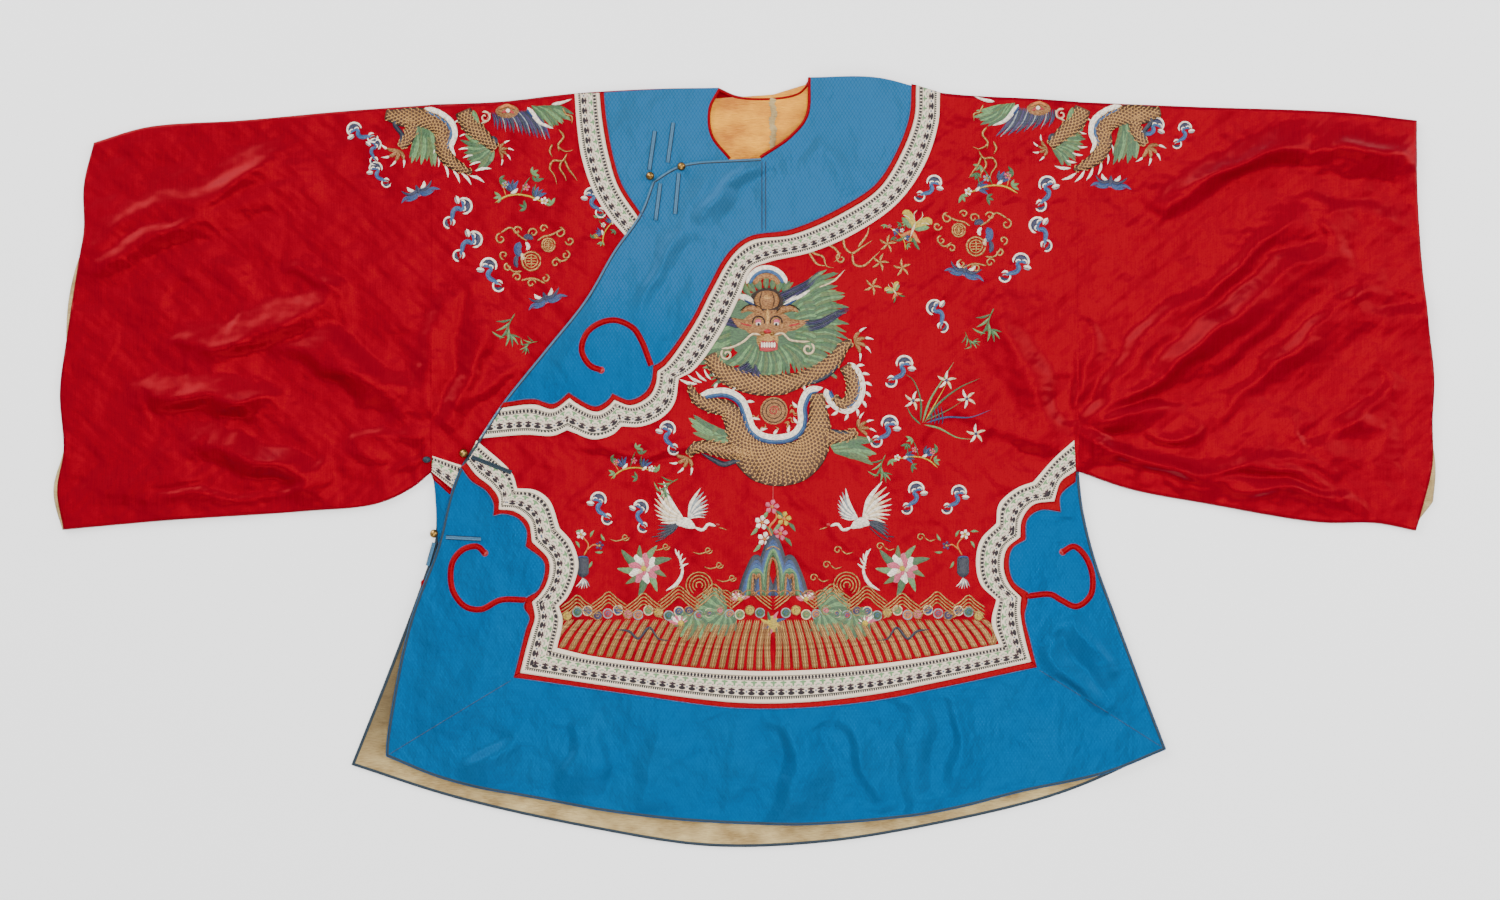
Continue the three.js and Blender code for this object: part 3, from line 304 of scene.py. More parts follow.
# Ridges are squared half-cosine humps, highest at mid length and joined by a root of fourth powers; creases
# are bell-shaped troughs along a bent line that die away at both ends; both wander with sums of sines, and
# slow waves of half a millimetre keep the satin from lying dead flat
def foldHeight(x, y):
    plainX, plainY = x, y
    x = plainX + 5 * np.sin(plainY / 21 + 1.7 * np.sin(plainX / 33)) + 2 * np.sin(plainY / 9 + plainX / 17)
    y = plainY + 5 * np.sin(plainX / 24 + 1.4 * np.sin(plainY / 38)) + 2 * np.sin(plainX / 11 - plainY / 15)
    high = np.zeros_like(x)
    for x0, y0, x1, y1, rise, width in ridges:
        along, away = nearSegment(x, y, x0, y0, x1, y1)
        swell = rise * (0.6 + 0.45 * np.sin(math.pi * along))
        high = (high ** 4 + (swell * np.cos(np.minimum(away / width, 0.5) * math.pi) ** 2) ** 4) ** 0.25
    fine = np.zeros_like(x)
    bends = np.linspace(0, 1, 9)
    for x0, y0, xm, ym, x1, y1, depth, width in creases:
        close = (np.abs(x - (x0 + x1) / 2) < abs(x1 - x0) / 2 + 40 + 3 * width)
        close &= (np.abs(y - (y0 + y1) / 2) < abs(y1 - y0) / 2 + 40 + 3 * width)
        if not close.any():
            continue
        px, py = x[close], y[close]
        bx = (1 - bends) ** 2 * x0 + 2 * bends * (1 - bends) * xm + bends ** 2 * x1
        by = (1 - bends) ** 2 * y0 + 2 * bends * (1 - bends) * ym + bends ** 2 * y1
        best = np.full(px.shape, 1e9)
        run = np.zeros_like(px)
        for k in range(8):
            along, away = nearSegment(px, py, bx[k], by[k], bx[k + 1], by[k + 1])
            nearer = away < best
            best = np.where(nearer, away, best)
            run = np.where(nearer, (k + along) / 8, run)
        taper = np.sqrt(np.clip(np.sin(math.pi * run), 0, 1))
        fine[close] += 1.8 * depth * taper * np.exp(-np.sqrt((best / width) ** 2 + 0.35) + 0.59)
    slow = 0.5 * np.sin(x / 31 + 1.3 * np.sin(y / 47)) * np.sin(y / 37 + 1.1 * np.sin(x / 59 + 2))
    slow += 0.22 * np.sin((x + 0.6 * y) / 13 + 1.7 * np.sin(y / 41)) * np.sin((y - 0.4 * x) / 29)
    return np.maximum(high + fine + slow, -0.9)


def pastClosure(x, y):  # distance to the right of the flap's slanting edge
    return (x + 104) * 0.83 - (y - 304) * 0.56


def underTop(x, y):
    return stack["frontLow"] + stack["cloth"] + foldHeight(x, y)


# The outer front climbs over the yoke and the front under its flap, and comes down again as a smooth step
def outerTop(x, y):
    t = np.clip((pastClosure(x, y) - 90) / 140, 0, 1)
    return underTop(x, y) + (stack["cloth"] + stack["trim"] + 2 * stack["gap"]) * (1 - t * t * (3 - 2 * t))


# What pieces lie on: the front below, if any, and the rise over it
layers = dict(
    back=(None, stack["cloth"]), lining=(None, liningTop),
    under=(underTop, 0), underTrim=(underTop, trimRise), underBand=(underTop, bandRise),
    outer=(outerTop, 0), outerTrim=(outerTop, trimRise), outerBand=(outerTop, bandRise),
)


def layerTop(layer, x, y):
    front, rise = layers[layer]
    return (front(x, y) if front else np.zeros_like(x)) + rise


def place(flat, height):  # points in mm and their height to the frame's metres
    return np.concatenate([flat * mm + shift, (height * mm)[..., None]], axis=-1)


print("tables ready")


def at(line, share):  # points at shares of a line's length
    run = runOf(line)
    return np.stack([np.interp(share * run[-1], run, line[:, k]) for k in (0, 1)], axis=-1)


# Four-sided patch: the blend of bottom and top, plus the blend of left and right, less the blend of the
# corners. Rows follow v from bottom to top, columns follow u from left to right.
def patch(bottom, top, left, right, u, v):
    bottom, top, left, right = (np.asarray(line, float) for line in (bottom, top, left, right))
    b, t, l, r = at(bottom, u)[None], at(top, u)[None], at(left, v)[:, None], at(right, v)[:, None]
    u, v = u[None, :, None], v[:, None, None]
    corners = (1 - u) * ((1 - v) * bottom[0] + v * top[0]) + u * ((1 - v) * bottom[-1] + v * top[-1])
    return (1 - v) * b + v * t + (1 - u) * l + u * r - corners


def shares(length, step):
    return np.linspace(0, 1, max(3, int(length / step) + 1))


def panel(bottom, top, left, right, wide, tall,
          step):  # a patch about wide by tall, with a point at each step
    return patch(bottom, top, left, right, shares(wide, step), shares(tall, step))


def panelBetween(lowLeft, lowRight, highLeft, highRight, wide, tall, step):  # a panel between four points
    return panel([lowLeft, lowRight], [highLeft, highRight], [lowLeft, highLeft], [lowRight, highRight],
                 wide, tall, step)


def part(line, keep):  # the stretch of a line where keep holds
    return line[keep(line[:, 0], line[:, 1])]


def quadsOf(index):  # the corners of each cell in a grid of point numbers
    cells = (index[..., :-1, :-1], index[..., :-1, 1:], index[..., 1:, 1:], index[..., 1:, :-1])
    return np.stack(cells, axis=-1).reshape(-1, 4)


def addMesh(name, vertices, faces, uv, material):
    mesh = bpy.data.meshes.new(name)
    mesh.from_pydata(vertices.reshape(-1, 3).tolist(), [], faces)
    mesh.polygons.foreach_set("use_smooth", np.ones(len(faces), bool))
    if uv is not None:
        corners = np.empty(len(mesh.loops), np.int32)
        mesh.loops.foreach_get("vertex_index", corners)
        uv = uv.reshape(-1, 2)[corners].astype(np.float32)
        mesh.uv_layers.new(name="UVMap").data.foreach_set("uv", uv.ravel())
    mesh.materials.append(material)
    made = bpy.data.objects.new(name, mesh)
    bpy.context.collection.objects.link(made)
    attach(made, "root")
    return made


# Quads between neighbours of a grid of points; wrap joins the last row to the first, caps closes both ends
def addSurface(name, points, material, uv=None, wrap=False, flip=None, caps=False):
    rowCount, columnCount = points.shape[:2]
    index = np.arange(rowCount * columnCount).reshape(rowCount, columnCount)
    quads = quadsOf(np.vstack([index, index[:1]]) if wrap else index)
    if flip is None:  # the upper cloth of a tube is its first third
        judged = quads[:len(quads) // 3] if wrap else quads
        a, b, c, d = (points.reshape(-1, 3)[judged[:, k]] for k in range(4))
        flip = np.cross(c - a, d - b)[:, 2].sum() < 0
    faces = (quads[:, ::-1] if flip else quads).tolist()
    if caps:
        ends = [index[:, 0][::-1].tolist(), index[:, -1].tolist()]
        faces += [end[::-1] for end in ends] if flip else ends
    return addMesh(name, points, faces, uv, material)


def closeSeams(mesh):  # joins points that lie on each other, so that shells, tubes and poles are closed
    joined = bmesh.new()
    joined.from_mesh(mesh)
    bmesh.ops.remove_doubles(joined, verts=joined.verts, dist=1e-7)
    joined.to_mesh(mesh)
    joined.free()


def surfaceArea(made):
    areas = np.empty(len(made.data.polygons))
    made.data.polygons.foreach_get("area", areas)
    return float(areas.sum())


# Hides the solid that a sheet stands for, and works out the sheet's size and area, which nothing uses; size
# is its cut in mm, or its plan box along its main axes
def asCloth(made, node, size=None):
    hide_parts(node)
    if size is None:
        points = np.array([v.co[:2] for v in made.data.vertices])
        points -= points.mean(axis=0)
        axes = np.linalg.svd(points, full_matrices=False)[2]
        size = np.ptp(points @ axes.T, axis=0) / mm
    width, height = (max(float(s), 10) * mm for s in size)
    area = min(surfaceArea(made), width * height)


def turnedEdge(flat, height, drop):  # one more ring round the grid, lowered to show the cloth's thickness
    flat = np.pad(flat, ((1, 1), (1, 1), (0, 0)), mode="edge")
    height = np.pad(height, 1, mode="edge")
    rim = np.ones_like(height)
    rim[1:-1, 1:-1] = 0
    return flat, height - drop * rim


# A cut piece on a layer, from its plan grid. Its UV is in mm: its place on the robe, or along and across a
# strip.
def flatPiece(name, layer, flat, material, drop=1.0, size=None, along=None, tuck=None):
    uv = np.pad(flat if along is None else along, ((1, 1), (1, 1), (0, 0)), mode="edge")
    flat, height = turnedEdge(flat, layerTop(layer, flat[..., 0], flat[..., 1]), drop)
    if tuck:  # at the armhole the outermost ring runs on for 3 mm under the sleeve
        for column in (0, -1):
            rim = flat[2:-2, column]
            rim[:, 0] += np.where(np.abs(rim[:, 0] - tuck) < 0.01, 3 * np.sign(tuck), 0)
    asCloth(addSurface(name + "_cloth", place(flat, height), material, uv), name, size)


def ruled(lineA, lineB, across):  # rows run from line A to line B
    share = np.linspace(0, 1, across)[:, None, None]
    return (1 - share) * lineA[None] + share * lineB[None]


def ruledUv(lineA, lineB, across, width):  # mm along the middle line, mm across from line A
    middle = (lineA + lineB) / 2
    lean = ((ruled(lineA, lineB, across) - middle[None]) * directions(middle)[0][None]).sum(axis=-1)
    grid = runOf(middle)[None] + lean
    return np.stack([grid, np.broadcast_to(np.linspace(0, width, across)[:, None], grid.shape)], axis=-1)


# Materials
def newMaterial(name, settings):  # a Principled surface with fixed values on its own sockets
    made = bpy.data.materials.new(name)
    made.use_nodes = True
    shader = made.node_tree.nodes["Principled BSDF"]
    for socket, value in settings.items():
        shader.inputs[socket].default_value = linear(value) if isinstance(value, str) else value
    return made, made.node_tree, shader


# Streaks: noise on coordinates that are squeezed along one direction
def weaveLines(tree, place, stretch, detail=2.0):
    scaled = addNode(tree, "ShaderNodeVectorMath", dict(operation="MULTIPLY"), {0: place, 1: stretch})
    noise = addNode(tree, "ShaderNodeTexNoise", None,
                    {"Vector": scaled.outputs[0], "Scale": 1.0, "Detail": detail})
    return noise.outputs["Fac"]


rgba = dict(data_type="RGBA")
smooth = dict(interpolation_type="SMOOTHSTEP")

# Red silk satin: long warp floats lie up and down the robe, so the shine runs in streaks and the folds go
# from near black red to bright scarlet
redSatin, tree, shader = newMaterial("redSilkSatin", {
    "Roughness": 0.34, "Specular IOR Level": 0.5, "Specular Tint": "#ff0410", "Anisotropic": 0.6})
uv = addNode(tree, "ShaderNodeUVMap", dict(uv_map="UVMap")).outputs[0]
streaks = weaveLines(tree, uv, (0.9, 0.035, 0))
shade = weaveLines(tree, uv, (0.012, 0.016, 0), 3.0)
color = addNode(tree, "ShaderNodeMix", rgba, {0: shade, 6: "#47000e", 7: "#670012"}).outputs[2]
color = addNode(tree, "ShaderNodeMix", rgba, {0: streaks, 6: color, 7: "#710014"}).outputs[2]
tree.links.new(color, shader.inputs["Base Color"])
# Handling leaves wrinkles that fan outwards and up on both sleeves, so they are drawn on mirrored coordinates
mirrored = addNode(tree, "ShaderNodeVectorMath", dict(operation="ABSOLUTE"), {0: uv}).outputs[0]
slanted = {"Vector": mirrored, "Rotation": (0, 0, math.radians(-42))}
slanted = addNode(tree, "ShaderNodeMapping", None, slanted).outputs[0]
wrinkles = weaveLines(tree, slanted, (0.006, 0.028, 0), 2.5)
crumple = weaveLines(tree, uv, (0.022, 0.03, 0), 2.0)
crumple = addNode(tree, "ShaderNodeMath", dict(operation="ADD"), {0: crumple, 1: wrinkles}).outputs[0]
rise = addNode(tree, "ShaderNodeMath", dict(operation="MULTIPLY_ADD"),
               {0: streaks, 1: 0.008, 2: crumple}).outputs[0]
bump = addNode(tree, "ShaderNodeBump", None, {"Height": rise, "Strength": 0.7, "Distance": 0.007})
tree.links.new(bump.outputs[0], shader.inputs["Normal"])
tangent = addNode(tree, "ShaderNodeTangent", dict(direction_type="UV_MAP", uv_map="UVMap"))
tree.links.new(tangent.outputs[0], shader.inputs["Tangent"])

# Red satin cut on the bias for bands and scrolls: darker, with the piping's ribs across it
satinBand, tree, shader = newMaterial("redSatinBand", {
    "Roughness": 0.4, "Specular IOR Level": 0.6, "Specular Tint": "#ff3030"})
uv = addNode(tree, "ShaderNodeUVMap", dict(uv_map="UVMap")).outputs[0]
streaks = weaveLines(tree, uv, (0.8, 0.15, 0))
color = addNode(tree, "ShaderNodeMix", rgba, {0: streaks, 6: "#4c0008", 7: "#7a0010"}).outputs[2]
tree.links.new(color, shader.inputs["Base Color"])
bump = addNode(tree, "ShaderNodeBump", None, {"Height": streaks, "Strength": 0.3, "Distance": 0.001})
tree.links.new(bump.outputs[0], shader.inputs["Normal"])

# Blue damask silk: a small diamond twill catches the light in crossing lines; the yoke is faded by wear
blueSilk, tree, shader = newMaterial("blueDamaskSilk", {
    "Roughness": 0.4, "Specular IOR Level": 0.5, "Specular Tint": "#2c94f4", "Anisotropic": 0.4})
uv = addNode(tree, "ShaderNodeUVMap", dict(uv_map="UVMap")).outputs[0]
axes = addNode(tree, "ShaderNodeSeparateXYZ", None, {0: uv}).outputs
fade = addNode(tree, "ShaderNodeMapRange", smooth, {0: axes[1], 1: 40.0, 2: 300.0, 3: 0.0, 4: 1.0}).outputs[0]
cloudy = weaveLines(tree, uv, (0.02, 0.02, 0), 4.0)
fade = addNode(tree, "ShaderNodeMath", dict(operation="MULTIPLY_ADD", use_clamp=True),
               {0: cloudy, 1: 0.35, 2: fade}).outputs[0]
slants = []
for slope in (0.62, -0.62):
    run = addNode(tree, "ShaderNodeMath", dict(operation="MULTIPLY_ADD"),
                  {0: axes[1], 1: slope, 2: axes[0]}).outputs[0]
    wave = addNode(tree, "ShaderNodeMath", dict(operation="PINGPONG"), {0: run, 1: 1.9}).outputs[0]
    slants.append(addNode(tree, "ShaderNodeMath", dict(operation="LESS_THAN"), {0: wave, 1: 0.42}).outputs[0])
twill = addNode(tree, "ShaderNodeMath", dict(operation="MAXIMUM"), {0: slants[0], 1: slants[1]}).outputs[0]
twillShade = addNode(tree, "ShaderNodeMath", dict(operation="MULTIPLY"), {0: twill, 1: 0.4}).outputs[0]
color = addNode(tree, "ShaderNodeMix", rgba, {0: fade, 6: "#003a60", 7: "#285068"}).outputs[2]
color = addNode(tree, "ShaderNodeMix", rgba, {0: twillShade, 6: color, 7: "#002c4c"}).outputs[2]
streaks = weaveLines(tree, uv, (0.03, 0.7, 0))
streakShade = addNode(tree, "ShaderNodeMath", dict(operation="MULTIPLY"), {0: streaks, 1: 0.25}).outputs[0]
color = addNode(tree, "ShaderNodeMix", rgba, {0: streakShade, 6: color, 7: "#00588c"}).outputs[2]
tree.links.new(color, shader.inputs["Base Color"])
crumple = weaveLines(tree, uv, (0.026, 0.02, 0), 4.0)
rise = addNode(tree, "ShaderNodeMath", dict(operation="MULTIPLY_ADD"),
               {0: twill, 1: 0.05, 2: crumple}).outputs[0]
bump = addNode(tree, "ShaderNodeBump", None, {"Height": rise, "Strength": 0.8, "Distance": 0.007})
tree.links.new(bump.outputs[0], shader.inputs["Normal"])

# Woven ribbon: a cream silk ground with rows of small figures; each row is a run of ellipses at an even
# pitch, given as middle, half height, pitch, half width, shift and colour, in mm from the dotted side
ribbonRows = [
    (14.5, 14.6, 0.5, 0.10, 0.0, "#b4a48e"),
    (4.4, 0.45, 2.0, 5.0, 0.0, "#6c6252"), (8.2, 0.4, 2.0, 5.0, 0.0, "#504c44"),
    (6.3, 1.5, 3.7, 1.4, 0.0, "#0e020a"),
    (11.4, 2.5, 10.7, 1.1, 0.0, "#567a50"), (10.3, 1.0, 10.7, 3.4, 0.0, "#5a7c52"),
    (12.9, 0.9, 10.7, 1.9, 5.0, "#7f9475"), (13.9, 0.7, 5.35, 1.0, 2.0, "#8b7070"),
    (15.6, 0.28, 2.0, 5.0, 0.0, "#857c6c"),
    (18.6, 3.0, 10.7, 1.2, 2.6, "#0c020a"), (20.2, 1.7, 10.7, 3.6, 2.6, "#10020a"),
    (17.2, 1.0, 10.7, 3.8, 2.6, "#240814"), (18.8, 1.0, 10.7, 1.0, 8.0, "#485262"),
    (22.9, 0.45, 2.0, 5.0, 0.0, "#3c3c34"), (24.1, 1.3, 2.4, 0.85, 0.0, "#20221c"),
]
ribbonWeave, tree, shader = newMaterial("wovenSilkRibbon", {"Roughness": 0.6, "Specular IOR Level": 0.3})
uv = addNode(tree, "ShaderNodeUVMap", dict(uv_map="UVMap")).outputs[0]
axes = addNode(tree, "ShaderNodeSeparateXYZ", None, {0: uv}).outputs
grain = weaveLines(tree, uv, (2.2, 0.4, 0))
color = addNode(tree, "ShaderNodeMix", rgba, {0: grain, 6: "#baa690", 7: "#e0d2be"}).outputs[2]
for middle, halfHeight, pitch, halfWidth, start, tint in ribbonRows:
    run = addNode(tree, "ShaderNodeMath", dict(operation="ADD"), {0: axes[0], 1: start}).outputs[0]
    run = addNode(tree, "ShaderNodeMath", dict(operation="PINGPONG"), {0: run, 1: pitch / 2}).outputs[0]
    away = addNode(tree, "ShaderNodeCombineXYZ", None, {0: run, 1: axes[1]}).outputs[0]
    away = addNode(tree, "ShaderNodeVectorMath", dict(operation="SUBTRACT"),
                   {0: away, 1: (0, middle, 0)}).outputs[0]
    away = addNode(tree, "ShaderNodeVectorMath", dict(operation="DIVIDE"),
                   {0: away, 1: (halfWidth, halfHeight, 1)})
    away = addNode(tree, "ShaderNodeVectorMath", dict(operation="LENGTH"),
                   {0: away.outputs[0]}).outputs["Value"]
    inside = addNode(tree, "ShaderNodeMapRange", None, {0: away, 1: 1.16, 2: 0.94, 3: 0.0, 4: 1.0}).outputs[0]
    color = addNode(tree, "ShaderNodeMix", rgba, {0: inside, 6: color, 7: tint}).outputs[2]
tree.links.new(color, shader.inputs["Base Color"])
bump = addNode(tree, "ShaderNodeBump", None, {"Height": grain, "Strength": 0.25, "Distance": 0.0006})
tree.links.new(bump.outputs[0], shader.inputs["Normal"])

# Lining silk: unbleached, soft, yellowed in patches; the neck has a browner open gauze
linings = {}
for name, dark, light in (("liningSilk", "#80663a", "#bca470"), ("liningGauze", "#ac6412", "#eca21c")):
    linings[name], tree, shader = newMaterial(name, {
        "Roughness": 0.7, "Specular IOR Level": 0.25, "Sheen Weight": 0.2})
    uv = addNode(tree, "ShaderNodeUVMap", dict(uv_map="UVMap")).outputs[0]
    patches = weaveLines(tree, uv, (0.03, 0.05, 0), 4.0)
    threads = weaveLines(tree, uv, (0.12, 1.1, 0))
    both = addNode(tree, "ShaderNodeMath", dict(operation="MULTIPLY_ADD"),
                   {0: threads, 1: 0.45, 2: patches}).outputs[0]
    spread = addNode(tree, "ShaderNodeMapRange", None, {0: both, 1: 0.5, 2: 0.95, 3: 0.0, 4: 1.0}).outputs[0]
    color = addNode(tree, "ShaderNodeMix", rgba, {0: spread, 6: dark, 7: light}).outputs[2]
    height = addNode(tree, "ShaderNodeSeparateXYZ", None, {0: uv}).outputs[1]
    offSlit = addNode(tree, "ShaderNodeMath", dict(operation="ADD"), {0: height, 1: 195.0}).outputs[0]
    offSlit = addNode(tree, "ShaderNodeMath", dict(operation="ABSOLUTE"), {0: offSlit}).outputs[0]
    # painted shade: the lining darkens beside the slit, where the front's edge stands over it
    paintedSlitShade = addNode(tree, "ShaderNodeMapRange", smooth,
                    {0: offSlit, 1: 70.0, 2: 150.0, 3: 0.85, 4: 0.0}).outputs[0]
    color = addNode(tree, "ShaderNodeMix", rgba, {0: paintedSlitShade, 6: color, 7: "#4e3e24"}).outputs[2]
    tree.links.new(color, shader.inputs["Base Color"])
    bump = addNode(tree, "ShaderNodeBump", None, {"Height": both, "Strength": 0.7, "Distance": 0.006})
    tree.links.new(bump.outputs[0], shader.inputs["Normal"])
liningSilk = linings["liningSilk"]

# Binding: a narrow folded strip of dark teal silk with its slanting weave
bindingSatin, tree, shader = newMaterial("bindingSilk", {"Roughness": 0.55, "Specular IOR Level": 0.35})
uv = addNode(tree, "ShaderNodeUVMap", dict(uv_map="UVMap")).outputs[0]
streaks = weaveLines(tree, uv, (0.7, 0.5, 0))
color = addNode(tree, "ShaderNodeMix", rgba, {0: streaks, 6: "#010a12", 7: "#0a2a3a"}).outputs[2]
tree.links.new(color, shader.inputs["Base Color"])

# Piping and folded strips: the same blue silk as the yoke, edged by the dark line of their seams
pipingSilk, tree, shader = newMaterial("pipingSilk", {"Roughness": 0.5, "Specular IOR Level": 0.35})
uv = addNode(tree, "ShaderNodeUVMap", dict(uv_map="UVMap")).outputs[0]
axes = addNode(tree, "ShaderNodeSeparateXYZ", None, {0: uv}).outputs
away = addNode(tree, "ShaderNodeMath", dict(operation="ABSOLUTE"), {0: axes[1]}).outputs[0]
rim = addNode(tree, "ShaderNodeMapRange", None, {0: away, 1: 1.3, 2: 1.9, 3: 0.0, 4: 1.0}).outputs[0]
streaks = weaveLines(tree, uv, (0.7, 0.5, 0))
color = addNode(tree, "ShaderNodeMix", rgba, {0: streaks, 6: "#103c58", 7: "#386c8c"}).outputs[2]
color = addNode(tree, "ShaderNodeMix", rgba, {0: rim, 6: color, 7: "#000a14"}).outputs[2]
tree.links.new(color, shader.inputs["Base Color"])

# Brass, cast and turned: brown where it has tarnished, pale where fingers rub it
brass, tree, shader = newMaterial("tarnishedBrass", {"Metallic": 1.0, "Roughness": 0.36})
object3 = addNode(tree, "ShaderNodeTexCoord").outputs["Object"]
patches = addNode(tree, "ShaderNodeTexNoise", None,
                  {"Vector": object3, "Scale": 420.0, "Detail": 3.0}).outputs["Fac"]
spread = addNode(tree, "ShaderNodeMapRange", None, {0: patches, 1: 0.35, 2: 0.65, 3: 0.0, 4: 1.0}).outputs[0]
color = addNode(tree, "ShaderNodeMix", rgba, {0: spread, 6: "#4a3218", 7: "#b08a4c"}).outputs[2]
tree.links.new(color, shader.inputs["Base Color"])
print("materials ready")


# Back: one flat cloth under everything, in two halves; its two faces meet all round at 0.8 mm
shoulderLine = edge("shoulderLeft", "neckBack", "shoulderRight")
hemLine = edge("hemBack")[::-1]
leftSide = np.vstack([edge("slitBack"), [(armholeLeft, 387)]])
rightSide = np.vstack([edge("sideBack")[::-1], [(armholeRight, 390)]])
for name, way, end in (("back_left", -1, -1), ("back_right", 1, 0)):
    top, bottom = (part(line, lambda x, y: way * (x - backSeam) >= 0) for line in (shoulderLine, hemLine))
    seam = [bottom[end], top[end]]
    sides = (leftSide, seam) if way < 0 else (seam, rightSide)
    grid = panel(bottom, top, *sides, 400, 800, 12)
    upper, height = turnedEdge(grid, np.full(grid.shape[:2], stack["cloth"]), 0.7)
    low = turnedEdge(grid, np.full(grid.shape[:2], 0.1), -0.7)[1]
    shell = np.concatenate([place(upper, height), place(upper, low)[::-1]])
    made = addSurface(name + "_cloth", shell, redSatin, np.concatenate([upper, upper[::-1]]), wrap=True)
    closeSeams(made.data)
    asCloth(made, name)
print("back ready")


# Sleeves: flat tubes over a patch between the seam below and the fold above. Round it run the upper cloth,
# the fold, the lower cloth and the seam; along it the columns run from the armhole to the cuff and 25 mm
# back inside.
def sleeve(name, under, cuff, top, armhole):
    length, height = lengthOf(under), lengthOf(cuff)
    inset = 1.6 / height
    u, v = shares(length, 3.2), shares(height, 3.2)
    share = np.concatenate([[0.2, 0.62], np.ones(len(v)), [0.62, 0.2], np.zeros(30)])
    v = np.concatenate([[0, 0], inset / 2 + (1 - inset) * v, [1, 1], np.linspace(1 - inset, inset, 30)])
    inside = slice(len(u), None)
    u = np.concatenate([u, [1, 1 - 1 / length, 1 - 25 / length]])
    plan = patch(under, top, armhole, cuff, u, np.clip(v, 0, 1))
    upper = underTop(plan[..., 0], plan[..., 1])
    high = upper * share[:, None]
    high[:, inside] = np.clip(high[:, inside], stack["cloth"], upper[:, inside] - stack["cloth"])
    made = addSurface(name + "_cloth", place(plan, high), redSatin, plan, wrap=True)
    asCloth(made, name, (length, 2 * height))


sleeve("sleeve_left", edge("underLeft"), edge("cuffLeft"), edge("topLeft")[::-1],
       [(armholeLeft, -12), (armholeLeft, 387)])
sleeve("sleeve_right", edge("underRight")[::-1], edge("cuffRight"), edge("topRight"),
       [(armholeRight, -11), (armholeRight, 390)])
print("sleeves ready")

# Fronts
frontUnder = panel(
    [(-335, -80), (-318, -140), (-262, -50), (-120, 150), (-22, 327)], edge("shoulderLeft"),
    [(-335, -80), (-342, -16), (armholeLeft, -10), (armholeLeft, 387)], edge("neckLeft")[::-1], 320, 400, 3.2)
flatPiece("front_under", "under", frontUnder, redSatin, tuck=armholeLeft)
frontOuter = panel(
    edge("hemFront")[::-1], edge("flapTop", "neckRight", "shoulderRight"), edge("slitFront", "closure"),
    np.vstack([edge("sideRight")[::-1], [(armholeRight, 390)]]), 850, 720, 3.1)
flatPiece("front_outer", "outer", frontOuter, redSatin, tuck=armholeRight)
print("fronts ready")

# Blue silk: towards the field each panel ends under the middle of its red band
yokeBlue, yokeInner = pairedEdges("yokeRightBlue", "yokeRightInner", 2.5)
borders = {name: pairedEdges(name + "Blue", name + "Inner", 2.5) for name in ("left", "hem", "right")}
yokeUnder = (yokeBlue + yokeInner) / 2
leftUnder, hemUnder, rightUnder = ((blueLine + innerLine) / 2 for blueLine, innerLine in borders.values())
seamFoot = yokeUnder[np.argmin(np.abs(yokeUnder[:, 0] - frontSeam) + 1e3 * (yokeUnder[:, 1] < 200))]
flapOutside = np.vstack([part(edge("closure"), lambda x, y: y > 66), edge("flapTop")])
flapInside = part(yokeUnder, lambda x, y: x <= frontSeam)[::-1]
yokeLeftBlue = edge("yokeLeftBlue", step=2.5)
yokeLeftInner = moved(yokeLeftBlue, -5)
yokeLeftFoot = (-22, 286)
slitLine = part(edge("slitFront"), lambda x, y: y < 2)
hemLeft = (-393, -319)
hemRight = (452, -312)
blueGrids = dict(
    yoke_right=panel(part(yokeUnder, lambda x, y: x > frontSeam)[::-1], edge("neckRight"),
                     [seamFoot, (14, 328)], part(edge("shoulderRight"), lambda x, y: x < 179)[::-1],
                     190, 130, 2.6),
    border_flap=panel(flapInside, flapOutside, [flapInside[0], flapOutside[0]], [seamFoot, (16, 328)],
                      430, 90, 2.4),
    yoke_left=panel([(-112, 262), yokeLeftFoot], part(edge("shoulderLeft"), lambda x,
                                                      y: (x > -158) & (x < -35)),
                    moved(yokeLeftBlue, -2)[::-1], np.vstack([[yokeLeftFoot], edge("neckLeft")[::-1]]),
                    130, 140, 2.6),
    border_left=panel([hemLeft, leftUnder[-1]], [slitLine[-1], leftUnder[0]], slitLine, leftUnder[::-1],
                      120, 360, 2.6),
    border_right=panel([rightUnder[-1], hemRight], [rightUnder[0], (armholeRight, -12)], rightUnder[::-1],
                       edge("sideRight")[::-1], 120, 330, 2.6),
    border_hem=panel(edge("hemFront")[::-1], hemUnder, [hemLeft, hemUnder[0]], [hemRight, hemUnder[-1]],
                     700, 130, 2.8),
    border_under=panelBetween((-337, -88), (-316, -110), (-341, -20), (-306, -52), 30, 60, 3),
)
for name, grid in blueGrids.items():
    layer = "underTrim" if name in ("yoke_left", "border_under") else "outerTrim"
    flatPiece(name, layer, grid, blueSilk, drop=0.0)
print("blue silk ready")
# Red bands, then the ribbons, each between two matched edges
for name, (blueLine, innerLine) in dict(band_yoke_right=(yokeBlue, yokeInner), band_left=borders["left"],
                                        band_right=borders["right"], band_hem=borders["hem"]).items():
    flatPiece(name, "outerBand", ruled(blueLine, innerLine, 5), satinBand,
              size=(lengthOf(innerLine), 6.5), along=ruledUv(blueLine, innerLine, 5, 6))
flatPiece("band_yoke_left", "underBand", ruled(yokeLeftBlue, yokeLeftInner, 5), satinBand,
          size=(lengthOf(yokeLeftBlue), 5.5), along=ruledUv(yokeLeftBlue, yokeLeftInner, 5, 6))
bandUnder = [[(-343, -14), (-325, -30), (-306, -46)], [(-341.5, -20), (-324, -36), (-307, -51)]]
flatPiece("band_under", "underBand", np.array(bandUnder), satinBand)

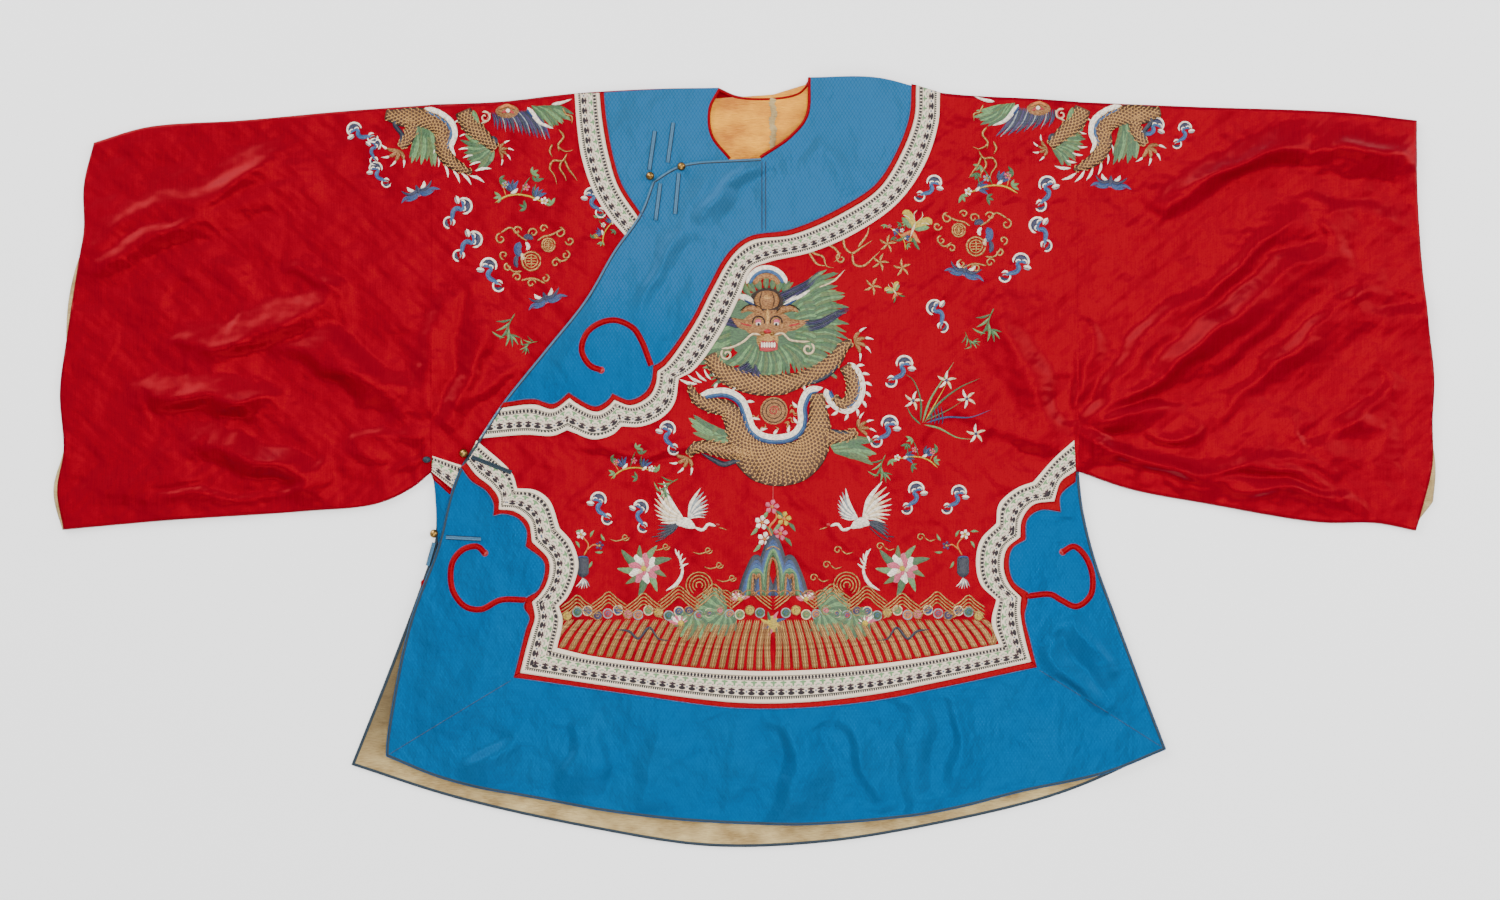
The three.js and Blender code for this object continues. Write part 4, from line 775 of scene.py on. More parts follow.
ribbonSides = dict(ribbon_yoke_right="yokeRight", ribbon_left="left", ribbon_right="right", ribbon_hem="hem")
for name, side in ribbonSides.items():
    innerLine, fieldLine = pairedEdges(side + "Inner", side + "Field", 1.8)
    weave = ruledUv(innerLine, fieldLine, 14, ribbonWidth)
    if name != "ribbon_yoke_right":  # below the yoke the dots lie on the side of the field
        weave[..., 1] = ribbonWidth - weave[..., 1]
    flatPiece(name, "outerTrim", ruled(innerLine, fieldLine, 14), ribbonWeave,
              size=(max(lengthOf(innerLine), lengthOf(fieldLine)), 34), along=weave)
fieldLine = edge("yokeLeftField", count=len(yokeLeftInner))
flatPiece("ribbon_yoke_left", "underTrim", ruled(yokeLeftInner, fieldLine, 14), ribbonWeave,
          size=(lengthOf(fieldLine), 30), along=ruledUv(yokeLeftInner, fieldLine, 14, ribbonWidth))
ribbonUnder = panelBetween((-344, -11), (-304, -44), (-343, 6), (-300, -8), 44, 30, 2)
rowCount, columnCount = ribbonUnder.shape[:2]
weave = np.stack(np.meshgrid(np.linspace(0, 44, columnCount), np.linspace(27, 2, rowCount)), axis=-1)
flatPiece("ribbon_under", "underTrim", ribbonUnder, ribbonWeave, along=weave)
print("ribbons ready")


# Strips along a line: scrolls, bindings and button loops
def strand(line, across, rise):  # each point of the profile is an offset to the left and a rise, in mm
    flat = line[None] + np.asarray(across)[:, None, None] * directions(line)[1][None]
    return flat, np.broadcast_to(np.asarray(rise)[:, None], flat.shape[:2])


def strandPiece(name, layer, line, across, rise, material):
    flat, lift = strand(line, across, rise)
    height = layerTop(layer, flat[..., 0], flat[..., 1]) + lift
    uv = np.stack(np.broadcast_arrays(runOf(line)[None], np.asarray(across)[:, None]), axis=-1)
    made = addSurface(name + "_cloth", place(flat, height), material, uv)
    asCloth(made, name, (lengthOf(line), np.hypot(np.diff(across), np.diff(rise)).sum()))


scrolls = dict(
    scroll_flap=[(-106, 104), (-117, 132), (-126, 145), (-145, 153), (-163, 149), (-176, 138), (-181, 120),
                 (-172, 104), (-160, 99)],
    scroll_left=[(-240, -150), (-269, -150), (-290, -160), (-307, -157), (-320, -141), (-323, -123),
                 (-320, -107), (-309, -95), (-294, -92), (-286, -99)],
    scroll_right=[(300, -146), (327, -144), (338, -150), (355, -157), (370, -145), (372, -123), (364, -102),
                  (352, -92), (340, -98)],
)
for name, rows in scrolls.items():
    line = spline(rows)
    strandPiece(name, "outerTrim", evenly(line, int(lengthOf(line) / 2)), np.linspace(-3.2, 3.2, 7),
                [0.1, 1.2, 1.6, 1.7, 1.6, 1.2, 0.1], satinBand)

bindings = dict(
    binding_neck_left=("underTrim", edge("neckLeft", step=2), satinBand, "satin_band"),
    binding_neck_right=("outerTrim", edge("neckRight", step=2), satinBand, "satin_band"),
    binding_neck_back=("lining", edge("neckBack", step=2)[::-1], satinBand, "satin_band"),
    binding_flap=("outerTrim", edge("closure", "flapTop", step=2)[::-1], pipingSilk, "binding"),
    binding_front=("outerTrim", edge("sideRight", "hemFront", "slitFront", step=2)[::-1], bindingSatin,
                   "binding"),
    binding_back=("lining", edge("hemBack", "slitBack", step=2)[::-1], bindingSatin, "binding"),
)
for name, (layer, line, cloth, slotName) in bindings.items():
    strandPiece(name, layer, line, [-0.6, 0, 0.8, 1.8, 2.8, 3.2], [-2.4, -0.4, 0.25, 0.3, 0.2, -0.6],
                cloth)

strips = dict(
    strip_neck_left_outer=("underTrim", (-102, 358), (-108, 316)),
    strip_neck_left_inner=("underTrim", (-82, 367), (-88, 324)),
    strip_flap_outer=("outerTrim", (-96, 301), (-101, 261)),
    strip_flap_inner=("outerTrim", (-76, 312), (-80, 268)),
    strip_side=("outerTrim", (-300, 5), (-257, -12)), strip_waist=("outerTrim", (-328, -82), (-290, -84)),
    strip_slit=("underTrim", (-341, -88), (-348, -113)),
)
for name, (layer, start, end) in strips.items():
    line = np.linspace(start, end, 24)
    strandPiece(name, layer, line, [-2.4, -2, -1.2, -0.4, 0, 0.4, 1.2, 2, 2.4],
                [0, 1.1, 1.5, 1.1, 0.5, 1.1, 1.5, 1.1, 0],
                bindingSatin if name == "strip_side" else pipingSilk)
print("strips ready")

# Linings
liningLow = dict(
    lining_neck_left=panelBetween((-60, 300), (backSeam, 300), (-60, 392), (backSeam, 398), 86, 98, 3),
    lining_neck_right=panelBetween((backSeam, 300), (78, 300), (backSeam, 398), (78, 414), 52, 98, 3),
)
backEdge = moved(edge("hemBack", "slitBack"), -1.5)
backEdge = part(backEdge, lambda x, y: (y < -130) | (x > -300))
inwards = [(410, -270), (205, -330), (81, -350), (-43, -352), (-169, -336), (-318, -300), (-352, -270),
           (-345, -221), (-310, -130)]
liningLow["lining_hem"] = ruled(evenly(backEdge, 330), evenly(spline(inwards), 330), 24)
cuffLine = edge("cuffLeft")
# The cuffs' linings slip out: in low waves on the left, in one wedge near the lower corner on the right
slipLeft = 5.0 * np.maximum(np.sin(cuffLine[:, 1:] / 34 + 2.6), 0) - 0.6
liningLow["lining_cuff_left"] = ruled(moved(cuffLine, slipLeft), moved(cuffLine, -25), 9)
cuffLow = part(edge("cuffRight"), lambda x, y: (y < 60) & (y > -70))
slipRight = 9 * np.clip((14 - cuffLow[:, 1:]) / 54, 0, 1) * np.clip((cuffLow[:, 1:] + 62) / 20, 0, 1)
liningLow["lining_cuff_right"] = ruled(moved(cuffLow, -0.6 - slipRight)[::-1], moved(cuffLow, 25)[::-1], 9)
liningSizes = dict(lining_hem=(lengthOf(backEdge), 66), lining_cuff_left=(lengthOf(cuffLine), 27),
                   lining_cuff_right=(lengthOf(cuffLow), 27))
for name, flat in liningLow.items():
    cloth = linings["liningGauze" if "neck" in name else "liningSilk"]
    flatPiece(name, "lining", flat, cloth, drop=0.9, size=liningSizes.get(name))
# The gauze's middle seam stands up in a pale frayed ridge
frayLine = np.stack([26 + np.sin(np.linspace(0, 19, 60)), np.linspace(331, 394, 60)], axis=1)
frayed, lift = strand(frayLine, [-3.4, -2, -0.7, 0.7, 2.4, 3.2], [0.1, 0.5, 1.4, 1.2, 0.5, 0.1])
frayed[[0, -1], :, 0] += random.uniform(-1.2, 1.2, (2, 60))
addSurface("gauze_seam", place(frayed, liningTop + lift), liningSilk, frayed)
print("linings ready")

# Ball buttons, the loop's knot and the stitched tack
balls = dict(
    button_neck=("outerTrim", -73, 319, 9, 9, 9, brass, "brass"),
    button_flap=("underTrim", -107, 309, 9, 9, 9, brass, "brass"),
    button_side=("under", -309, 9, 9, 9, 9, brass, "brass"),
    button_waist=("under", -341, -78, 9, 9, 9, brass, "brass"),
    knot_underarm=("under", -349, 2, 9, 7, 5, bindingSatin, "binding"),
    tack_slit=("back", -353, -132, 6, 8, 3, satinBand, "satin_band"),
)
turn = np.linspace(0, 2 * math.pi, 33)[:-1]
polar = np.linspace(0.02, math.pi - 0.02, 17)
for name, (layer, x, y, width, depth, tall, cloth, slotName) in balls.items():
    base = layerTop(layer, np.array([float(x)]), np.array([float(y)]))[0] + stack["gap"]
    flat = np.stack([x + width / 2 * np.outer(np.sin(polar), np.cos(turn)).T,
                     y + depth / 2 * np.outer(np.sin(polar), np.sin(turn)).T], axis=-1)
    high = np.broadcast_to(base + tall / 2 * (1 - np.cos(polar)), flat.shape[:2])
    made = addSurface(name + "_ball", place(flat, high), cloth, wrap=True, flip=True, caps=True)
    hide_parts(name)
print("buttons ready")

# Embroidery: bands of stitches on the satin, gathered by thread and joined at the end
threads = dict(
    gold="#8a6236", goldDark="#2c1808", goldPale="#a48048", bronze="#4a2e15", white="#e4d8c4",
    cream="#cdb48c", blue="#0f3060", sky="#1d4c78", indigo="#10153a", navy="#0a1428", green="#2c5228",
    greenPale="#567c46", olive="#465a26", yellow="#b0941c", orange="#b4641c", pink="#b84a62", red="#a00010",
    purple="#2a1a4a", grey="#7f8688", black="#0a0a10", seam="#02233c",
)
sewn = dict(gold=[], silk=[])


def gather(color, flat, lift, run, away):  # flat is (pieces, rows, columns, 2) in mm
    kind = "gold" if color == "bronze" or color.startswith("gold") else "silk"
    tint = np.array(linear(threads[color])[:3]) * random.uniform(0.88, 1.1, (flat.shape[0], 1, 1, 1))
    uv = np.stack(np.broadcast_arrays(run, away), axis=-1)
    shape = flat.shape[:3]
    sewn[kind].append((flat, np.broadcast_to(lift, shape), np.broadcast_to(tint, shape + (3,)),
                       np.broadcast_to(uv, flat.shape)))


def turned(points, x=0, y=0, size=1, turn=0, mirror=False):  # local points scaled, mirrored, turned and moved
    p = np.asarray(points, float) * size
    if mirror:
        p = p * np.array([-1, 1])
    c, s = math.cos(math.radians(turn)), math.sin(math.radians(turn))
    return np.stack([c * p[..., 0] - s * p[..., 1] + x, s * p[..., 0] + c * p[..., 1] + y], axis=-1)


crossAway = np.array([-1, -0.6, 0, 0.6, 1])
crossRise = np.array([0, 0.72, 1, 0.72, 0])


# A band along a smooth line; its width swells from its ends as a root of the distance, and its cross-section
# is a low arch
def stitch(color, width, points, ends=(0.25, 0.25), crown=0.6, low=0.25, step=1.75):
    line = spline(points)
    count = max(6, int(lengthOf(line) / step) + 1)
    line = evenly(line, count)
    t = np.linspace(0, 1, count)
    swell = np.minimum(1, np.minimum(t / ends[0], (1 - t) / ends[1])) ** 0.6
    half = np.maximum(width / 2 * swell, 0.08)
    flat = line[None] + crossAway[:, None, None] * (half[:, None] * directions(line)[1])[None]
    high = low + crown * crossRise[:, None] * np.minimum(1, half / max(half.max(), 0.1))[None]
    run = np.linspace(0, lengthOf(line), count)[None]
    gather(color, flat[None], high[None], run[None], (crossAway[:, None] * half[None])[None])


# A filled round or oval: rings of points out from the middle, domed as a cosine
def disc(color, x, y, radius, other=None, turn=0, crown=0.8, low=0.3):
    ring = np.array([0.0, 0.4, 0.75, 1.0])
    angle = np.linspace(0, 2 * math.pi, 19)
    run = np.outer(ring, np.cos(angle)) * radius
    away = np.outer(ring, np.sin(angle)) * (other or radius)
    flat = turned(np.stack([run, away], axis=-1), x, y, 1, turn)
    high = low + crown * np.cos(ring * math.pi / 2)[:, None] + 0 * run
    gather(color, flat[None], high[None], run[None], away[None])


def arc(x, y, radius, start, end, tighten=0.0, count=14):  # points of an arc or, with tighten, a spiral
    share = np.linspace(0, 1, count)
    angle = np.radians(start + (end - start) * share)
    reach = radius * (1 - tighten * share)
    return np.stack([x + reach * np.cos(angle), y + reach * np.sin(angle)], axis=1)


# Draws a table of stitches at a place. A row is colour, width and points, or colour, radius and one point.
def motif(rows, **where):
    size = where.get("size", 1)
    for color, width, points, *ends in rows:
        placed = turned(points, **where)
        if len(placed) == 1:
            disc(color, *placed[0], width * size)
        else:
            stitch(color, width * size, placed, *ends)


even = (0.04, 0.04)
# Seams sewn through the blue silk: the mitres, and the two lines of piping down the middle of the yoke
for points in ([(-256, -236), (-324, -277), (-391, -318)], [(313, -225), (382, -268), (450, -311)]):
    stitch("seam", 0.9, points, even, low=1.25, crown=0.25)
for x in (14, 18):
    stitch("seam", 1.2, [(x, 326), (x, 290), (x, 249)], even, low=1.25, crown=0.5)
for rows in scrolls.values():  # each scroll ends in a rounded head
    disc("red", *rows[-1][:2], 4.2, low=1.0, crown=2.0)
# pale piping beside the red bands
for line in (yokeBlue, yokeLeftBlue, *(pair[0] for pair in borders.values())):
    stitch("sky", 1.1, line, even, low=1.8, crown=0.5)
stitch("red", 1.0, [(26, 14), (26, -20), (26, -56)], (0.1, 0.1), low=0.05, crown=0.2)
# Scroll cloud: two curls with a white rim and dark heart, joined by a blue ribbon of vapour
cloud = [
    ("sky", 4.2, [(4, 5), (1, -1), (4, -6), (10, -8), (15, -10)], (0.15, 0.15)),
    ("blue", 2.4, [(5, 3), (3, -2), (6, -5), (12, -7)]),
    ("indigo", 5.0, [(-6, 8), (-2, 11), (3, 11), (7, 7)]),
    ("sky", 3.2, [(-6, 5), (-1, 7), (4, 5), (5, 1)]),
    ("white", 2.3, arc(0.5, 7, 8.4, 200, -20), (0.08, 0.08)),
    ("white", 1.8, arc(-3, 6.5, 3.0, 200, 10, 0.2), (0.15, 0.15)),
    ("white", 1.8, arc(3.4, 6, 2.8, 180, -60, 0.3), (0.15, 0.15)),
    ("white", 3.4, [(-12, 1), (-8, 2.5), (-3, 2)], (0.3, 0.3)),
    ("grey", 1.6, [(-11, -0.4), (-7, -0.6), (-3, 0.4)]),
    ("indigo", 3.4, [(11, -14), (15, -16), (19, -13)]),
    ("white", 2.0, arc(15, -12, 6.0, 150, 350), (0.1, 0.1)),
    ("white", 2.4, [(11, -8.5), (15, -6.5), (19, -9)], (0.3, 0.3)),
    ("grey", 1.4, [(12, -11), (15, -10), (18, -11.5)]),
]
clouds = [
    (-425, 354, 0.9, 30, 0), (-316, 276, 1, -78, 0), (-305, 240, 1, -80, 0), (-284, 205, 1, -10, 0),
    (-172, 283, 0.9, -10, 0), (440, 359, 0.9, -20, 1), (326, 294, 1, 20, 1), (319, 253, 1, 60, 1),
    (294, 210, 1, -10, 1), (207, 164, 0.95, 60, 1), (169, 99, 1, 0, 1), (153, 34, 1, 0, 1),
    (200, 296, 0.9, -10, 1), (-165, -48, 0.95, -12, 0), (-121, -55, 0.9, -30, 0), (-91, 29, 0.95, -20, 0),
    (183, -37, 0.95, 10, 1), (228, -40, 0.9, 0, 1), (-405, 312, 0.8, 0, 0), (-409, 340, 0.75, -40, 0),
    (474, 356, 0.8, 10, 1),
]
for x, y, size, turn, mirror in clouds:
    motif(cloud, x=x, y=y, size=size, turn=turn, mirror=mirror)

# Bat: spread wings of blue with pale veins
bat = [
    ("blue", 6, [(0, 3), (8, 7), (17, 4), (24, 8)], (0.1, 0.6)),
    ("indigo", 4.5, [(0, 0), (9, 2), (15, -1), (19, -6)], (0.1, 0.6)),
    ("white", 4.2, [(4, -1), (9, -3), (11, -8)], (0.3, 0.4)), ("sky", 1.6, [(2, 6), (10, 9), (19, 7)]),
    ("blue", 6, [(0, 3), (-8, 7), (-17, 4), (-26, 8)], (0.1, 0.6)),
    ("indigo", 4.5, [(0, 0), (-9, 2), (-15, -1), (-20, -6)], (0.1, 0.6)),
    ("white", 4.2, [(-4, -1), (-9, -3), (-11, -8)], (0.3, 0.4)), ("sky", 1.6, [(-2, 6), (-10, 9), (-19, 7)]),
    ("indigo", 6, [(0, 8), (0, 0), (0, -7)], (0.4, 0.5)), ("sky", 3, [(0, 7.5), (0, 4)]),
    ("pink", 0.9, [(1.2, 7)]), ("pink", 0.9, [(-1.2, 7)]),
]
for x, y, size, turn in [(-359, 294, 0.9, -160), (-221, 178, 0.9, 200), (392, 304, 0.9, 175),
                         (234, 208, 0.9, 165)]:
    motif(bat, x=x, y=y, size=size, turn=turn)


# Blossom of five petals, and leafy sprays of it
def blossom(x, y, size, petal, heart="yellow"):
    for k in range(5):
        ends = turned([(1.2, 0), (3.2, 0.5), (5.4, 0)], x, y, size, 72 * k)
        stitch(petal, 3.6 * size, ends, (0.5, 0.35))
    disc(heart, x, y, 1.3 * size, low=0.7)


def leaf(x, y, length, turn, color, width=0.3):
    tip = turned([(0, 0), (length * 0.5, length * 0.08), (length, 0)], x, y, 1, turn)
    stitch(color, length * width, tip, (0.45, 0.6))


def spray(x, y, size, turn, mirror, petals, wing="indigo"):
    where = dict(x=x, y=y, size=size, turn=turn, mirror=mirror)
    motif([("yellow", 2, [(-30, -12), (-18, -4), (-6, -1), (8, -2), (20, -6), (32, -9)], (0.1, 0.3)),
           ("green", 1.6, [(-2, 0), (3, 12), (8, 20)]), ("green", 1.6, [(12, -3), (14, 8), (15, 13)]),
           ("orange", 1.5, [(-18, -4), (-22, 6), (-26, 11)])], **where)
    for k, spot in enumerate([(-27, 13), (10, 23), (16, 15), (35, -10), (6, -15), (-24, -4)]):
        cx, cy = turned(spot, **where)
        heading = turn + 180 * mirror + 40 * k
        for angle in (-50, 0, 50):
            leaf(cx, cy, 9 * size, heading + angle, ("green", "greenPale")[k % 2], 0.45)
    for k, spot in enumerate([(-10, 2), (16, -4)]):
        cx, cy = turned(spot, **where)
        heading = turn - 60 * mirror - 40 * k
        for j, angle in enumerate((70, 95, 120, 145)):
            leaf(cx, cy, 14 * size, heading + angle, ("blue", wing)[j % 2], 0.34)
        stitch("white", 4 * size, turned([(-3, -2), (1, 0), (5, 4)], cx, cy, size, turn), (0.4, 0.4))
    for spot, petal in zip([(26, -6), (-20, 9), (4, 8)], petals):
        blossom(*turned(spot, **where), 0.85 * size, petal)


spray(-246, 290, 0.95, -4, False, ("white", "grey", "pink"))
spray(262, 300, 0.95, 4, True, ("white", "pink", "grey"))
spray(-127, -6, 0.8, 8, False, ("white", "pink", "pink"))
spray(182, 6, 0.8, -8, True, ("white", "pink", "pink"))
spray(-155, 252, 0.6, 60, False, ("pink", "yellow", "white"), "purple")
spray(164, 246, 0.55, -50, True, ("pink", "yellow", "white"), "purple")

# Bamboo: a cut twig with long leaves
for x, y, size, turn in [(-261, 146, 1, 250), (259, 151, 1, 255), (-88, -26, 0.85, 220), (143, -5, 0.85, 255),
                         (-238, 128, 0.6, 200), (238, 132, 0.6, 300)]:
    stitch("olive", 1.6 * size, turned([(-16, 2), (-4, 0), (10, 1)], x, y, size, turn), even)
    for k, angle in enumerate((-62, -38, -14, 12, 36, 64, 100, -98)):
        px, py = turned((-9 + 3.1 * k, 0.5), x, y, size, turn)
        leaf(px, py, size * (21 - 1.4 * abs(k - 3)), turn + angle, ("green", "greenPale")[k % 2], 0.17)


# Gold scroll medallion: a round lattice among curling tendrils, in couched gold
def medallion(x, y, mirror):
    where = dict(x=x, y=y, size=1.1, mirror=mirror)
    for cx, cy, r in ((0, -8, 10), (17, 8, 7)):
        px, py = turned((cx, cy), **where)
        stitch("goldPale", 2.1, arc(px, py, r, 0, 360, count=24), even)
        stitch("goldPale", 1.7, arc(px, py, r * 0.68, 20, 380, count=20), even)
        reach = r * 0.62
        for k in (-0.3, 0, 0.3):
            row = py + k * r
            stitch("goldPale", 1.6, [(px - reach, row), (px, row + 0.1), (px + reach, row)], even)
        stitch("goldPale", 1.6, [(px, py - reach), (px + 0.1, py), (px, py + reach)], even)
    tendrils = [  # place, radius, start and sweep
        (-30, 14, 6, 90, 400), (-27, -2, 5, 270, -380), (-23, -14, 4.5, 90, 400), (-14, 22, 5, 0, 400),
        (2, 20, 5.5, 200, -400), (12, 24, 4.5, 0, 400), (28, 20, 6, 90, -400), (38, 12, 5, 180, 400),
        (34, -2, 5, 90, -400), (24, -10, 5, 0, 400), (-14, -24, 5, 180, -400), (0, -30, 5, 0, 400),
        (14, -25, 4.5, 90, -400)]
    for cx, cy, r, start, sweep in tendrils:
        if mirror:
            start, sweep = 180 - start, -sweep
        px, py = turned((cx, cy), **where)
        stitch("goldPale", 2.0, arc(px, py, r, start, start + sweep, 0.75, 20), even)
    for points in ([(-30, 20), (-20, 25), (-12, 17), (-4, 12)], [(-25, -10), (-18, -18), (-9, -18)],
                   [(6, 12), (12, 16), (20, 18), (32, 24)], [(24, -4), (30, -8), (36, -6)],
                   [(-10, -27), (2, -25), (14, -30)]):
        stitch("goldPale", 2.0, turned(points, **where), even)
    motif([("blue", 8, [(-12, 12), (-15, 4), (-12, -4)]), ("indigo", 6, [(-8, 14), (-4, 18), (2, 15)]),
           ("white", 4, [(-6, 12), (-3, 7), (-5, 3)]), ("indigo", 5, [(-15, -2), (-17, -10), (-15, -16)]),
           ("cream", 4, [(-11, 0), (-9, -5), (-11, -8)])], x=x, y=y, mirror=mirror)


medallion(-236, 226, False)
medallion(246, 242, True)

# Butterflies
butterfly = [
    ("yellow", 9, [(1, 2), (7, 10), (14, 15), (18, 12)], (0.2, 0.3)),
    ("greenPale", 6, [(2, 0), (10, 5), (17, 8)], (0.2, 0.3)),
    ("orange", 5, [(1, -2), (6, -9), (13, -12)], (0.3, 0.4)), ("green", 3.4, [(3, -8), (9, -16), (15, -20)]),
    ("white", 1.4, [(4, 6), (10, 11), (16, 11)]), ("cream", 1.2, [(1, 8), (5, 17), (3, 22)]),
    ("cream", 3.2, [(0, 9), (0, 0), (0, -11)], (0.4, 0.6)),
]
for x, y, size, turn in [(178, 252, 0.95, -20), (158, 184, 0.5, 30)]:
    motif(butterfly, x=x, y=y, size=size, turn=turn)
    motif(butterfly, x=x, y=y, size=size, turn=turn, mirror=True)

# Orchid: arching blades and a few pale flowers
for color, width, points in [
        ("green", 2.6, [(190, 42), (205, 62), (228, 80), (250, 90)]),
        ("greenPale", 2.4, [(188, 42), (196, 66), (212, 92), (222, 108)]),
        ("green", 2.4, [(186, 44), (186, 66), (178, 88), (168, 96)]),
        ("blue", 2.2, [(192, 42), (214, 48), (240, 48), (262, 56)]),
        ("greenPale", 2.2, [(190, 40), (206, 36), (226, 26), (244, 24)]),
        ("green", 2.0, [(186, 40), (176, 50), (170, 62)]),
        ("yellow", 1.5, [(192, 46), (206, 70), (214, 84)]),
        ("olive", 1.5, [(190, 44), (216, 56), (232, 66)])]:
    stitch(color, width, points, (0.15, 0.75))
for x, y, turn in [(214, 88, 10), (236, 68, 40), (246, 30, 20), (178, 66, 0)]:
    for k in range(5):
        leaf(x, y, 11, turn + 72 * k, "white" if k % 2 else "cream", 0.3)
    disc("purple", x, y, 1.6, low=0.7)
for k in range(4):
    stitch("indigo", 1.8, [(196 + 4 * k, 60), (198 + 4 * k, 50 - 2 * k), (197 + 4 * k, 40)], (0.5, 0.3))


# Dragons: a gold body carried along a line, with scales couched over it and a dark edge. The widths are a
# short table of share of the length and width.
def bodyOf(points, widths, scale=4.4, notched=0):
    crown = 1.5
    line = spline(points)
    count = int(lengthOf(line) / 2) + 2
    line = evenly(line, count)
    length = lengthOf(line)
    t = np.linspace(0, 1, count)
    half = np.interp(t, *np.array(widths, float).T) / 2
    along, normal = directions(line)
    across = np.linspace(-1, 1, 9)
    flat = line[None] + across[:, None, None] * (half[:, None] * normal)[None]
    high = 0.3 + crown * np.sqrt(np.clip(1 - across ** 2, 0, 1))[:, None] + 0 * half[None]
    gather("bronze", flat[None], high[None], np.linspace(0, length, count)[None, None],
           (across[:, None] * half[None])[None])
    # scales: small arches in staggered rows, open towards the tail
    rowsAlong = np.arange(scale / 2, length - 1, scale * 0.8)
    run, lane = np.meshgrid(rowsAlong, np.arange(-12, 13), indexing="ij")
    lane = lane + 0.5 * (np.arange(len(rowsAlong)) % 2)[:, None]
    share = run / length
    reach = lane * scale / np.maximum(np.interp(share, t, half), 0.1)
    keep = np.abs(reach) < 0.93
    share, reach = share[keep], reach[keep]
    where, ax = (np.stack([np.interp(share, t, row) for row in rows.T], axis=-1) for rows in (line, along))
    nx = np.stack([-ax[:, 1], ax[:, 0]], axis=-1)
    where = where + (reach * np.interp(share, t, half))[:, None] * nx
    angle = np.linspace(-1.9, 1.9, 7)
    rim = np.array([0.30, 0.46, 0.60])
    ahead = scale * (np.cos(angle)[None] * rim[:, None])[None, ..., None]
    aside = scale * (np.sin(angle)[None] * rim[:, None])[None, ..., None]
    flat = where[:, None, None] + ahead * ax[:, None, None] + aside * nx[:, None, None]
    dome = crown * np.sqrt(np.clip(1 - reach ** 2, 0, 1))[:, None, None]
    high = 0.34 + dome + np.array([0, 0.22, 0])[None, :, None] + 0 * flat[..., 0]
    gather("goldPale", flat, high, (angle * 2)[None, None], (rim * 4)[None, :, None])
    for away in (-1, 1):
        stitch("goldDark", 1.3, (line + away * half[:, None] * normal)[::2], even, crown=0.5, step=2)
    if notched:  # the plates of the belly: short dark stitches in from one rim
        for k in range(4, count - 3, 4):
            rimPoint = line[k] + notched * half[k] * normal[k]
            plate = [rimPoint, rimPoint - notched * 2.6 * normal[k] + 1.4 * along[k],
                     rimPoint - notched * 4.6 * normal[k] + 3.4 * along[k]]
            stitch("goldDark", 1.3, plate, (0.1, 0.7), low=0.9)


def claw(x, y, turn, size=1.0):  # four gold toes with white nails
    for k, angle in enumerate((-62, -20, 20, 62)):
        toe = turned([(0, 0), (7, 1.5), (13, 0)], x, y, size, turn + angle)
        stitch("gold", 4 * size, toe, (0.3, 0.3), crown=0.9)
        nail = turned([(12, 0.5), (16, -1), (20, -4)], x, y, size, turn + angle)
        stitch("white", 2.6 * size, nail, (0.15, 0.8))


# A fan of pointed locks from a line, in turn of each colour
def mane(points, color, spread, length, turnFrom, turnTo, count, width):
    line = evenly(spline(points), count)
    for k, ((x, y), angle) in enumerate(zip(line, np.linspace(turnFrom, turnTo, count))):
        for j in range(2):
            leaf(x, y, length * random.uniform(0.75, 1.1), angle + spread * (j - 0.5) + random.uniform(-6, 6),
                 color[(k + j) % len(color)], width)


# The large dragon, seen from the front over its own coils, round a pearl
greens = ("green", "greenPale", "green", "olive")
for row in [([(-30, 186), (-24, 160), (-26, 124), (-18, 104)], greens, 14, 32, 165, 215, 20, 0.2),
            ([(58, 184), (66, 160), (64, 130), (56, 106)], greens, 14, 40, 32, -32, 24, 0.18),
            ([(-24, 176), (-20, 150), (-18, 122)], greens, 14, 28, 165, 200, 16, 0.22),
            ([(44, 172), (50, 150), (48, 128)], greens, 12, 34, 32, -35, 20, 0.2),
            ([(2, 128), (20, 122), (40, 128)], greens, 14, 36, 222, 318, 26, 0.2),
            ([(-4, 178), (20, 186), (42, 178)], ("green", "olive"), 14, 18, 140, 40, 9, 0.36)]:
    mane(*row)
disc("green", 20, 146, 46, 40, low=0.2, crown=0.15)
bodyOf([(-42, 116), (-34, 101), (-15, 90), (11, 83), (37, 84), (57, 89)],
       [(0, 13), (0.3, 21), (0.8, 22), (1, 15)], notched=-1)
bodyOf([(-65, 83), (-57, 68), (-42, 61), (-24, 57), (-15, 42), (-8, 20), (12, 1), (37, -4), (63, 8), (75, 34),
        (75, 57), (74, 74)],
       [(0, 5), (0.1, 13), (0.24, 19), (0.36, 29), (0.5, 44), (0.66, 44), (0.8, 31), (0.9, 20), (1, 13)],
       notched=-1)
bodyOf([(104, 104), (113, 88), (112, 71), (102, 61), (92, 70)], [(0, 13), (0.4, 16), (1, 8)], notched=-1)
